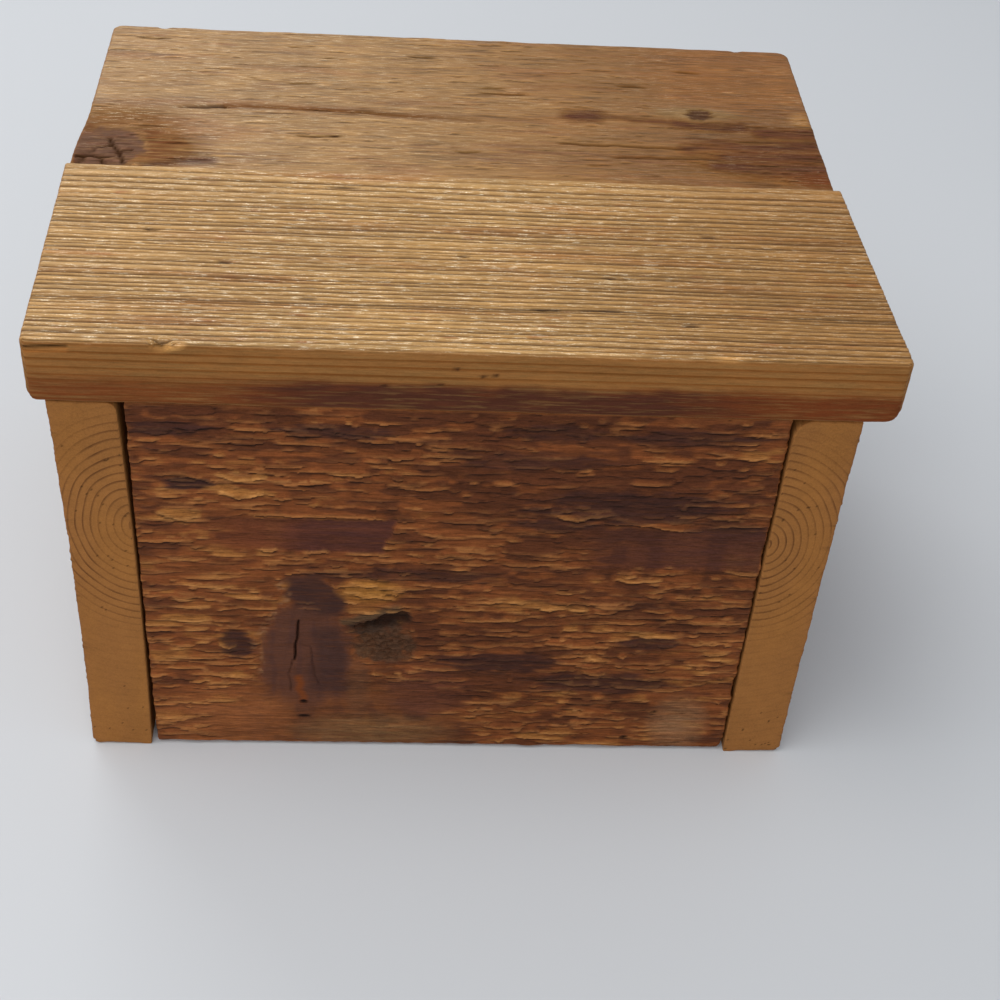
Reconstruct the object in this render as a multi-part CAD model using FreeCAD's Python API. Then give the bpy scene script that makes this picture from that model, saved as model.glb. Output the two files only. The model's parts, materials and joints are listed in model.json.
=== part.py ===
"""Storage box of reclaimed boards with a two-board lid, hinged at the back.

Millimetres. The origin is on the floor under the middle of the box, +X is to the right,
+Y to the back and +Z up. The lid is closed.
"""

import FreeCAD
import Part
import math
import os

from FreeCAD import Vector

# Carcass: two side boards with the front, the back and the floor boards between them
body_width = 257.0
body_depth = 210.0
body_height = 160.0
side_thickness = 22.0
front_thickness = 22.0
back_thickness = 22.0
floor_thickness = 20.0
floor_front_width = 104.0
floor_seam = 0.6
floor_gap = 0.3
wall_end_gap = 0.2
front_recess = 0.5
front_lift = 1.0
board_ease = 1.5

# Cup: how far each side board has bowed towards the inside at half its height
left_cup = 1.2
right_cup = 0.4

# Lid: the front board is a little thicker, and its ends are cut out of square
lid_front_thickness = 23.0
lid_rear_thickness = 21.5
lid_front_width = 103.0
lid_seam = 0.5
lid_seat_gap = 0.2
lid_front_overhang = 0.5
lid_front_left_overhang = 4.8
lid_front_left_skew = 1.6
lid_front_right_overhang = 11.1
lid_front_right_skew = -4.3
lid_rear_left_overhang = 3.9
lid_rear_right_overhang = 5.3
lid_ease = 2.0
lid_end_round = 3.5

# Raised grain: the deepest grooves that run along the top of the front lid board
lid_groove_depth = 0.5
lid_groove_width = 1.4
lid_groove_spacing = 14.0

# Cleats: two battens under the lid that hold its boards together
cleat_width = 20.0
cleat_height = 14.0
cleat_side_gap = 3.0
cleat_end_gap = 8.0
cleat_ease = 1.0
cleat_screw_shares = (0.25, 0.75)

# Cleat screws: countersunk wood screws with a cross recess
cleat_screw_length = 30.0
cleat_screw_radius = 1.75
cleat_screw_head_radius = 3.5
cleat_screw_point = 4.0
cleat_recess_width = 1.1
cleat_recess_length = 4.2
cleat_recess_depth = 1.3

# Nails: driven through the side boards into the ends of the other boards
nail_length = 50.0
nail_radius = 1.4
nail_head_radius = 3.0
nail_head_thickness = 1.0
nail_head_proud = 0.3
nail_point = 3.5
corner_nail_height_shares = (0.2, 0.5, 0.82)
floor_nail_shares = (0.25, 0.75)

# Hinges: a pair of butt hinges screwed to the back board and to the lid's rear edge
hinge_length = 38.0
hinge_inset = 40.0
hinge_leaf_width = 16.0
hinge_leaf_thickness = 1.2
hinge_leaf_corner = 2.0
hinge_barrel_radius = 2.6
hinge_barrel_gap = 0.1
hinge_notch_gap = 0.3
hinge_knuckles = 5
hinge_knuckle_gap = 0.25
hinge_pin_radius = 1.3
hinge_pin_gap = 0.06
hinge_pin_head_radius = 2.0
hinge_pin_head_length = 0.8

# Hinge screws: their heads are flush with the leaves
hinge_screw_length = 16.0
hinge_screw_radius = 1.5
hinge_screw_point = 3.0
hinge_screw_spacing = 22.0
hinge_screw_reach = 9.5
hinge_recess_width = 0.8
hinge_recess_length = 3.2
hinge_recess_depth = 0.8

# Fits: every fastener has this much room round it, and cuts run past a face by the overrun
fit_gap = 0.05
overrun = 1.0

# Places that several pieces share
front_plane = -body_depth / 2
back_plane = body_depth / 2
front_inside = front_plane + front_recess + front_thickness
back_inside = back_plane - back_thickness
side_inside = body_width / 2 - side_thickness
lid_bottom = body_height + lid_seat_gap
lid_front_edge = front_plane - lid_front_overhang
lid_seam_front = lid_front_edge + lid_front_width
lid_seam_rear = lid_seam_front + lid_seam
lid_rear_left_end = -body_width / 2 - lid_rear_left_overhang
lid_rear_right_end = body_width / 2 + lid_rear_right_overhang
cleat_front_end = front_inside + cleat_end_gap
cleat_rear_end = back_inside - cleat_end_gap
cleat_bottom = lid_bottom - cleat_height
hinge_axis_offset = hinge_barrel_radius + hinge_barrel_gap
hinge_axis_y = back_plane + hinge_axis_offset
hinge_axis_z = (body_height + lid_bottom) / 2
hinge_screw_head_radius = hinge_screw_radius + hinge_leaf_thickness

LEFT = -1
RIGHT = 1
SIDES = {"left": LEFT, "right": RIGHT}
CUPS = {LEFT: left_cup, RIGHT: right_cup}
UP = Vector(0, 0, 1)
DOWN = Vector(0, 0, -1)
BACKWARDS = Vector(0, 1, 0)


def block(x_span, y_span, z_span):
    """A plain box between three pairs of limits, given in any order."""
    low = Vector(min(x_span), min(y_span), min(z_span))
    high = Vector(max(x_span), max(y_span), max(z_span))
    size = high - low
    return Part.makeBox(size.x, size.y, size.z, low)


def eased(shape, radius):
    """The shape with all its arrises rounded."""
    return shape.makeFillet(radius, shape.Edges)


def turned(profile):
    """A solid of revolution about Z, from (radius, height) points that start and end on the axis."""
    points = [Vector(radius, 0, height) for radius, height in profile]
    face = Part.Face(Part.makePolygon(points + points[:1]))
    return face.revolve(Vector(0, 0, 0), UP, 360)


def set_at(shape, place, outward):
    """A copy of a fastener whose head faces outward at a place on a surface."""
    copy = shape.copy()
    copy.Placement = FreeCAD.Placement(place, FreeCAD.Rotation(UP, outward))
    return copy


def cut_all(shape, tools):
    """The shape with all the tools taken out of it."""
    return shape.cut(Part.makeCompound(tools)) if tools else shape


def cup_depth(side, height):
    """How far a side board's faces have moved inwards at a height, on the arc through its cup."""
    cup = CUPS[side]
    half = body_height / 2
    radius = (half**2 + cup**2) / (2 * cup)
    return math.sqrt(radius**2 - (height - half) ** 2) - (radius - cup)


# Fasteners, each standing on the Z axis with its head at height 0


def nail(gap=0.0):
    """A round nail, or with a gap the hole that it sits in."""
    shank = nail_radius + gap
    head = nail_head_radius + gap
    head_top = nail_head_proud + (overrun if gap else 0.0)
    head_base = nail_head_proud - nail_head_thickness - gap
    tip = nail_head_proud - nail_length - gap
    return turned(
        [
            (0, head_top),
            (head, head_top),
            (head, head_base),
            (shank, head_base),
            (shank, tip + nail_point),
            (0, tip),
        ]
    )


def screw(length, radius, head_radius, point, gap=0.0):
    """A countersunk screw without its recess, or with a gap the hole that it sits in."""
    shank = radius + gap
    head = head_radius + gap
    mouth = overrun if gap else 0.0
    profile = [
        (0, mouth),
        (head + mouth, mouth),
        (head, 0),
        (shank, radius - head_radius),
        (shank, point - length - gap),
        (0, -length - gap),
    ]
    if not gap:
        profile.pop(1)
    return turned(profile)


def crossed(shape, width, length, depth):
    """The screw with a cross recess in its head."""
    long_span = (-length / 2, length / 2)
    short_span = (-width / 2, width / 2)
    height_span = (-depth, overrun)
    slots = [block(long_span, short_span, height_span), block(short_span, long_span, height_span)]
    return cut_all(shape, slots)


def cleat_screw():
    """A screw that holds a cleat to a lid board."""
    plain = screw(cleat_screw_length, cleat_screw_radius, cleat_screw_head_radius, cleat_screw_point)
    return crossed(plain, cleat_recess_width, cleat_recess_length, cleat_recess_depth)


def cleat_screw_hole():
    """The hole for a cleat screw."""
    return screw(
        cleat_screw_length, cleat_screw_radius, cleat_screw_head_radius, cleat_screw_point, fit_gap
    )


def hinge_screw():
    """A screw that holds a hinge leaf."""
    plain = screw(hinge_screw_length, hinge_screw_radius, hinge_screw_head_radius, hinge_screw_point)
    return crossed(plain, hinge_recess_width, hinge_recess_length, hinge_recess_depth)


def hinge_screw_hole():
    """The hole for a hinge screw, in the leaf and in the wood behind it."""
    return screw(
        hinge_screw_length, hinge_screw_radius, hinge_screw_head_radius, hinge_screw_point, fit_gap
    )


# Where the fasteners go


def nail_place(side, y, height):
    """A point on a side board's outer face."""
    return Vector(side * (body_width / 2 - cup_depth(side, height)), y, height)


def corner_nail_places(side, y):
    """A row of nails up one corner of the carcass."""
    return [nail_place(side, y, share * body_height) for share in corner_nail_height_shares]


def floor_spans():
    """The front and the rear floor board, from front to back."""
    front_start = front_inside + floor_gap
    seam = front_start + floor_front_width
    return {
        "front": (front_start, seam),
        "rear": (seam + floor_seam, back_inside - floor_gap),
    }


def floor_nail_places(side, board):
    """The nails at one end of one floor board."""
    start, end = floor_spans()[board]
    rows = [start + share * (end - start) for share in floor_nail_shares]
    return [nail_place(side, y, floor_thickness / 2) for y in rows]


def nail_groups():
    """The nails of each joint, as (side, place) by the name of the group."""
    groups = {}
    for name, side in SIDES.items():
        front_row = front_plane + front_recess + front_thickness / 2
        rear_row = back_plane - back_thickness / 2
        groups[name + "_front_corner_nails"] = (side, corner_nail_places(side, front_row))
        groups[name + "_rear_corner_nails"] = (side, corner_nail_places(side, rear_row))
        floor_row = floor_nail_places(side, "front") + floor_nail_places(side, "rear")
        groups[name + "_floor_nails"] = (side, floor_row)
    return groups


def nail_solids(side, places):
    """The nails at these places."""
    return [set_at(nail(), place, Vector(side, 0, 0)) for place in places]


def nail_holes():
    """The holes of all the nails."""
    hole = nail(fit_gap)
    return [
        set_at(hole, place, Vector(side, 0, 0))
        for side, places in nail_groups().values()
        for place in places
    ]


def cleat_middle(side):
    """The middle of a cleat, across the box."""
    return side * (side_inside - CUPS[side] - cleat_side_gap - cleat_width / 2)


def cleat_screw_places(side):
    """The screws of one cleat: a pair in each lid board."""
    stretches = ((cleat_front_end, lid_seam_front), (lid_seam_rear, cleat_rear_end))
    return [
        Vector(cleat_middle(side), start + share * (end - start), cleat_bottom)
        for start, end in stretches
        for share in cleat_screw_shares
    ]


def cleat_screw_holes():
    """The holes of all the cleat screws."""
    hole = cleat_screw_hole()
    return [set_at(hole, place, DOWN) for side in SIDES.values() for place in cleat_screw_places(side)]


def hinge_middle(side):
    """The middle of a hinge, across the box."""
    end = lid_rear_left_end if side == LEFT else lid_rear_right_end
    return end - side * (hinge_inset + hinge_length / 2)


def hinge_screw_places(side, upwards):
    """The screws of one leaf: the lid's leaf is above the pin and the back board's is below it."""
    y = back_plane + hinge_leaf_thickness
    z = hinge_axis_z + upwards * hinge_screw_reach
    middle = hinge_middle(side)
    half = hinge_screw_spacing / 2
    return [Vector(middle - half, y, z), Vector(middle + half, y, z)]


def hinge_screw_holes(upwards):
    """The holes of the screws of both hinges, in the lid or in the back board."""
    hole = hinge_screw_hole()
    return [
        set_at(hole, place, BACKWARDS)
        for side in SIDES.values()
        for place in hinge_screw_places(side, upwards)
    ]


# Boards


def side_board(side):
    """A side board: its outer face has cupped hollow and its inner face stands out."""
    outer = side * body_width / 2
    inner = side * side_inside
    bow = side * CUPS[side]
    half = body_height / 2

    def at(x, z):
        return Vector(x, front_plane, z)

    outer_face = Part.Arc(at(outer, 0), at(outer - bow, half), at(outer, body_height)).toShape()
    top = Part.LineSegment(at(outer, body_height), at(inner, body_height)).toShape()
    inner_face = Part.Arc(at(inner, body_height), at(inner - bow, half), at(inner, 0)).toShape()
    bottom = Part.LineSegment(at(inner, 0), at(outer, 0)).toShape()
    section = Part.Face(Part.Wire([outer_face, top, inner_face, bottom]))
    board = eased(section.extrude(Vector(0, body_depth, 0)), board_ease)
    return cut_all(board, nail_holes())


def wall_ends():
    """The left and right ends of the front and back boards, clear of the cupped side boards."""
    return tuple(side * (side_inside - CUPS[side] - wall_end_gap) for side in SIDES.values())


def front_board():
    """The front board, set back a little and clear of the floor."""
    face = front_plane + front_recess
    board = block(wall_ends(), (face, front_inside), (front_lift, body_height))
    return cut_all(eased(board, board_ease), nail_holes())


def back_board():
    """The back board, which carries the hinges."""
    board = block(wall_ends(), (back_inside, back_plane), (0, body_height))
    return cut_all(eased(board, board_ease), nail_holes() + hinge_screw_holes(-1))


def floor_board(name):
    """One of the two floor boards."""
    ends = [
        side * (side_inside - cup_depth(side, floor_thickness) - floor_gap) for side in SIDES.values()
    ]
    board = block(ends, floor_spans()[name], (0, floor_thickness))
    return cut_all(eased(board, board_ease), nail_holes())


def lid_front_board():
    """The front lid board, with skewed ends that are rounded underneath."""
    left = -body_width / 2 - lid_front_left_overhang
    right = body_width / 2 + lid_front_right_overhang
    corners = [
        Vector(left, lid_front_edge, lid_bottom),
        Vector(right, lid_front_edge, lid_bottom),
        Vector(right + lid_front_right_skew, lid_seam_front, lid_bottom),
        Vector(left - lid_front_left_skew, lid_seam_front, lid_bottom),
    ]
    outline = Part.Face(Part.makePolygon(corners + corners[:1]))
    board = outline.extrude(UP * lid_front_thickness)
    under_ends = [edge for edge in board.Edges if is_under_end(edge)]
    board = board.makeFillet(lid_end_round, under_ends)
    rest = [edge for edge in board.Edges if is_sharp_arris(edge)]
    board = board.makeFillet(lid_ease, rest)
    return cut_all(board, cleat_screw_holes() + lid_grooves(left, right))


def lid_grooves(left, right):
    """Wedges that cut the grain grooves, past both ends of the front lid board."""
    top = lid_bottom + lid_front_thickness
    start = left - abs(lid_front_left_skew) - overrun
    end = right + abs(lid_front_right_skew) + overrun
    reach = lid_groove_width / 2 * (lid_groove_depth + overrun) / lid_groove_depth
    count = int(lid_front_width / lid_groove_spacing)
    margin = (lid_front_width - (count - 1) * lid_groove_spacing) / 2
    wedges = []
    for i in range(count):
        middle = lid_front_edge + margin + i * lid_groove_spacing
        corners = [
            Vector(start, middle, top - lid_groove_depth),
            Vector(start, middle + reach, top + overrun),
            Vector(start, middle - reach, top + overrun),
        ]
        section = Part.Face(Part.makePolygon(corners + corners[:1]))
        wedges.append(section.extrude(Vector(end - start, 0, 0)))
    return wedges


def is_under_end(edge):
    """True for the lower arris at either end of the front lid board."""
    start, end = (vertex.Point for vertex in edge.Vertexes)
    low = abs(start.z - lid_bottom) + abs(end.z - lid_bottom)
    return low < fit_gap and abs(start.y - end.y) > lid_front_width / 2


def is_sharp_arris(edge):
    """True for the arrises of the front lid board that are on top, or at its front or rear edge."""
    points = [vertex.Point for vertex in edge.Vertexes]
    top = lid_bottom + lid_front_thickness
    on_top = all(abs(point.z - top) < fit_gap for point in points)
    upright = isinstance(edge.Curve, Part.Line) and abs(edge.tangentAt(edge.FirstParameter).z) > 1 / 2
    return on_top or upright


def lid_rear_board():
    """The rear lid board, whose rear edge carries the hinges."""
    board = block(
        (lid_rear_left_end, lid_rear_right_end),
        (lid_seam_rear, back_plane),
        (lid_bottom, lid_bottom + lid_rear_thickness),
    )
    return cut_all(eased(board, lid_ease), cleat_screw_holes() + hinge_screw_holes(1))


def cleat(side):
    """A cleat under the lid, just inside a side board."""
    middle = cleat_middle(side)
    half = cleat_width / 2
    bar = block(
        (middle - half, middle + half), (cleat_front_end, cleat_rear_end), (cleat_bottom, lid_bottom)
    )
    return cut_all(eased(bar, cleat_ease), cleat_screw_holes())


# Hinges


def knuckle_spans(side, first):
    """Every second knuckle of a hinge, from left to right."""
    start = hinge_middle(side) - hinge_length / 2
    pitch = hinge_length / hinge_knuckles
    return [
        (start + i * pitch + hinge_knuckle_gap / 2, start + (i + 1) * pitch - hinge_knuckle_gap / 2)
        for i in range(first, hinge_knuckles, 2)
    ]


def hinge_rod(side, radius, x_span):
    """A round bar on the hinge axis."""
    start, end = x_span
    return Part.makeCylinder(
        radius, end - start, Vector(start, hinge_axis_y, hinge_axis_z), Vector(1, 0, 0)
    )


def hinge_leaf(side, upwards):
    """One leaf: a plate on the wood that is rolled round the pin at its own knuckles."""
    middle = hinge_middle(side)
    half = hinge_length / 2
    y_span = (back_plane, back_plane + hinge_leaf_thickness)
    notch = hinge_axis_z + upwards * (hinge_barrel_radius + hinge_notch_gap)
    edge_height = hinge_axis_z + upwards * hinge_leaf_width
    plate = block((middle - half, middle + half), y_span, (notch, edge_height))
    corners = [
        edge
        for edge in plate.Edges
        if all(abs(vertex.Point.z - edge_height) < fit_gap for vertex in edge.Vertexes)
        and abs(edge.tangentAt(edge.FirstParameter).y) > 1 / 2
    ]
    leaf = plate.makeFillet(hinge_leaf_corner, corners)
    for x_span in knuckle_spans(side, 1 if upwards > 0 else 0):
        stub = block(x_span, y_span, (hinge_axis_z, notch))
        leaf = leaf.fuse([stub, hinge_rod(side, hinge_barrel_radius, x_span)])
    room = hinge_pin_gap if upwards > 0 else fit_gap
    bore_span = (middle - half - overrun, middle + half + overrun)
    bore = hinge_rod(side, hinge_pin_radius + room, bore_span)
    holes = [set_at(hinge_screw_hole(), place, BACKWARDS) for place in hinge_screw_places(side, upwards)]
    return cut_all(leaf, [bore] + holes).removeSplitter()


def hinge_pin(side):
    """The pin, with a peened head outside each end of the barrel."""
    left = hinge_middle(side) - hinge_length / 2
    right = hinge_middle(side) + hinge_length / 2
    shaft = hinge_rod(side, hinge_pin_radius, (left, right))
    heads = [
        hinge_rod(side, hinge_pin_head_radius, (left - hinge_pin_head_length, left)),
        hinge_rod(side, hinge_pin_head_radius, (right, right + hinge_pin_head_length)),
    ]
    return shaft.fuse(heads).removeSplitter()


def hinge_screws(side, upwards):
    """The screws of one leaf."""
    return [set_at(hinge_screw(), place, BACKWARDS) for place in hinge_screw_places(side, upwards)]


def pieces():
    """Every piece by the name of its node. A list is a group of like fasteners."""
    made = {
        "front_board": front_board(),
        "back_board": back_board(),
        "floor_front_board": floor_board("front"),
        "floor_rear_board": floor_board("rear"),
        "lid_front_board": lid_front_board(),
        "lid_rear_board": lid_rear_board(),
    }
    for name, side in SIDES.items():
        made[name + "_side_board"] = side_board(side)
        made[name + "_lid_cleat"] = cleat(side)
        made[name + "_lid_cleat_screws"] = [
            set_at(cleat_screw(), place, DOWN) for place in cleat_screw_places(side)
        ]
        made[name + "_hinge_lid_leaf"] = hinge_leaf(side, 1)
        made[name + "_hinge_back_leaf"] = hinge_leaf(side, -1)
        made[name + "_hinge_pin"] = hinge_pin(side)
        made[name + "_hinge_lid_screws"] = hinge_screws(side, 1)
        made[name + "_hinge_back_screws"] = hinge_screws(side, -1)
    for name, (side, places) in nail_groups().items():
        made[name] = nail_solids(side, places)
    return made


def main():
    """Writes each node to its own file."""
    os.makedirs("parts", exist_ok=True)
    for name, shape in pieces().items():
        whole = Part.makeCompound(shape) if isinstance(shape, list) else shape
        solids = whole.Solids
        print(f"{name}: {len(solids)} solids, {whole.Volume:.1f} mm3, valid {whole.isValid()}")
        single = solids[0] if len(solids) == 1 else Part.makeCompound(solids)
        single.exportStep(os.path.join("parts", name + ".step"))


main()
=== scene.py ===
import bpy
import json
import math
import numpy as np
from mathutils import Matrix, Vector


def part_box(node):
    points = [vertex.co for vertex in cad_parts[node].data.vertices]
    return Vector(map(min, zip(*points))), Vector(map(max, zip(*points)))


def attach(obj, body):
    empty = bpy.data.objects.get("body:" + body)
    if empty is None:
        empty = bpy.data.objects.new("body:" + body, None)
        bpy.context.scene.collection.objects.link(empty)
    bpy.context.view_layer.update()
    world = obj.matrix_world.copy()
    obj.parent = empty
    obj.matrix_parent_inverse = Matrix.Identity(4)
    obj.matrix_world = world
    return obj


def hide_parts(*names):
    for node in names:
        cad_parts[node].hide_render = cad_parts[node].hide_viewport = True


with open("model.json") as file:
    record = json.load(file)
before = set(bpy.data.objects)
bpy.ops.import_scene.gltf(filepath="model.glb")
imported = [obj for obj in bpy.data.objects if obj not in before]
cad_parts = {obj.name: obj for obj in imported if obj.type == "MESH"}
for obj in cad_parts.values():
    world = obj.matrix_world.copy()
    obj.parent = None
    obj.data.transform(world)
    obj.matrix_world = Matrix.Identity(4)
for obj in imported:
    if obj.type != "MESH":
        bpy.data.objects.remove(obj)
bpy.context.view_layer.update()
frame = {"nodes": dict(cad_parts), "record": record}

# Looks of a storage box of reclaimed boards
# Sizes are in millimetres in the row frame until a mesh is made

MM = 0.001
FACES = ("-x", "+x", "-y", "+y", "-z", "+z")
ARRIS_LINES = np.array([0.0, 0.35, 0.8, 1.4])
LAYERS_APART = 7.3
COARSE_STRIDE = 4
LEAST_GAP = 0.12
DENT_RANGE = (0.35, 2.2)
SHARP_ANGLE = math.radians(42)
NO_TRIANGLES = np.zeros((0, 3), np.int64)


# Noise and masks


class Noise:
    """Smooth noise between about -1 and 1, the same on every run."""

    CELLS = 256
    GAIN = 1.6

    def __init__(self, seed):
        draw = np.random.default_rng(seed)
        self.order = np.tile(draw.permutation(self.CELLS), 2)
        slopes = draw.normal(size=(self.CELLS, 3))
        self.slopes = slopes / np.linalg.norm(slopes, axis=1, keepdims=True)

    def __call__(self, x, y=0.0, z=0.0):
        places = np.broadcast_arrays(x, y, z)
        cells = [np.floor(c).astype(np.int64) for c in places]
        parts = [c - i for c, i in zip(places, cells)]
        eased = [t * t * t * (t * (t * 6 - 15) + 10) for t in parts]
        total = 0.0
        for corner in range(8):
            step = [(corner >> axis) & 1 for axis in range(3)]
            key = 0
            for axis in range(3):
                key = self.order[(key + cells[axis] + step[axis]) % self.CELLS]
            slope = self.slopes[key]
            dot = sum(slope[..., a] * (parts[a] - step[a]) for a in range(3))
            weight = 1.0
            for a in range(3):
                weight = weight * (eased[a] if step[a] else 1 - eased[a])
            total = total + dot * weight
        return self.GAIN * total


def layered(noise, x, y=0.0, z=0.0, layers=3):
    """Noise with finer layers added to it."""
    total = 0.0
    for layer in range(layers):
        scale = 2.0**layer
        total = total + noise(x * scale, y * scale, z * scale + LAYERS_APART * layer) / scale
    return total


def ramp(value, low, high):
    """0 below low, 1 above high and an eased rise between them."""
    t = np.clip((value - low) / (high - low), 0, 1)
    return t * t * (3 - 2 * t)


def oval(u, v, centre, size):
    """The distance from an oval's middle, which is 1 on its edge."""
    return np.hypot((u - centre[0]) / size[0], (v - centre[1]) / size[1])


def patch(u, v, centre, size, power=2.0):
    """1 in the middle of an oval and 0 outside it."""
    far = np.abs((u - centre[0]) / size[0]) ** power + np.abs((v - centre[1]) / size[1]) ** power
    return np.clip(1 - far, 0, 1)


def spot(x, y, z, centre, size):
    """1 at a place and 0 outside an egg round it."""
    far = sum(((c - m) / s) ** 2 for c, m, s in zip((x, y, z), centre, size))
    return np.clip(1 - np.sqrt(far), 0, 1)


def near_line(u, v, points, width):
    """1 on a line of straight runs and 0 beyond its width."""
    best = np.full(np.shape(u), 1e9)
    for (u0, v0), (u1, v1) in zip(points[:-1], points[1:]):
        du, dv = u1 - u0, v1 - v0
        t = np.clip(((u - u0) * du + (v - v0) * dv) / (du * du + dv * dv), 0, 1)
        best = np.minimum(best, np.hypot(u - u0 - t * du, v - v0 - t * dv))
    return np.clip(1 - best / width, 0, 1)


def most(values):
    """The largest of several masks at each point."""
    return np.max(list(values), axis=0)


# Lattices


def with_arrises(low, high, ease, inner):
    """Lines close together at both rounded arrises, with the lines that inner gives between them."""
    ends = ARRIS_LINES * ease
    return np.concatenate([low + ends, inner(low + ends[-1], high - ends[-1]), high - ends[::-1]])


def ruled(low, high, step, ease):
    """Lattice lines from low to high, evenly spaced between the arrises."""

    def even(a, b):
        count = max(2, int(round((b - a) / step)))
        return np.linspace(a, b, count + 1)[1:-1]

    return with_arrises(low, high, ease, even)


def filled(marks, low, high, step):
    """The marks between low and high, with more lines where they are far apart."""
    margin = 0.1
    marks = [m for m in np.sort(marks) if low + margin < m < high - margin]
    marks = [low] + [m for m, last in zip(marks, [low] + marks) if m - last > LEAST_GAP] + [high]
    lines = []
    for a, b in zip(marks[:-1], marks[1:]):
        count = max(1, math.ceil((b - a) / step))
        lines += list(a + (b - a) * np.arange(count) / count)
    return np.array(lines[1:])


def board_lines(low, high, steps, ease):
    """The three sets of lattice lines of a board."""
    return [ruled(low[a], high[a], step, ease) for a, step in enumerate(steps)]


def face_of(name):
    """The axis of a face such as -x, and 0 or -1 for its low or high side."""
    return "xyz".index(name[1]), 0 if name[0] == "-" else -1


def layer_of(axis, side):
    """The index of one outer layer of a lattice."""
    index = [slice(None)] * 3
    index[axis] = side
    return tuple(index)


def grid_quads(grid):
    """The quads of a grid of vertex numbers."""
    corners = [grid[:-1, :-1], grid[1:, :-1], grid[1:, 1:], grid[:-1, 1:]]
    return np.stack(corners, -1).reshape(-1, 4)


def coarse_lines(count):
    """The lines that a coarse face keeps, without its border."""
    return np.unique(np.append(np.arange(1, count - 1, COARSE_STRIDE), count - 2))


def strip_triangles(grid, lines):
    """Triangles from a fine border, in column 0, to the coarse line next to it."""
    made = []
    for a, b in zip(lines[:-1], lines[1:]):
        middle = (a + b) // 2
        made += [(grid[t, 0], grid[t + 1, 0], grid[a, 1]) for t in range(a, middle)]
        made.append((grid[middle, 0], grid[b, 1], grid[a, 1]))
        made += [(grid[t, 0], grid[t + 1, 0], grid[b, 1]) for t in range(middle, b)]
    return np.array(made)


def coarse_face(grid):
    """Quads and triangles of a face that is fine at its border and coarse inside."""
    rows, columns = (coarse_lines(count) for count in grid.shape)
    quads = [grid_quads(grid[np.ix_(rows, columns)])]
    corners = ((grid, True), (grid[::-1], False), (grid[:, ::-1], False), (grid[::-1, ::-1], True))
    for corner, same in corners:
        quad = np.array([[corner[0, 0], corner[1, 0], corner[1, 1], corner[0, 1]]])
        quads.append(quad if same else quad[:, ::-1])
    triangles = []
    for view, lines, same in (
        (grid, rows, True),
        (grid[:, ::-1], rows, False),
        (grid.T, columns, False),
        (grid[::-1].T, columns, True),
    ):
        strip = strip_triangles(view, lines)
        triangles.append(strip if same else strip[:, ::-1])
    return np.concatenate(quads), np.concatenate(triangles)


# Board skins: closed boxes of fine grids, with worn arrises


def linked(name, data):
    """A new object in the scene."""
    made = bpy.data.objects.new(name, data)
    bpy.context.scene.collection.objects.link(made)
    return made


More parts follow.
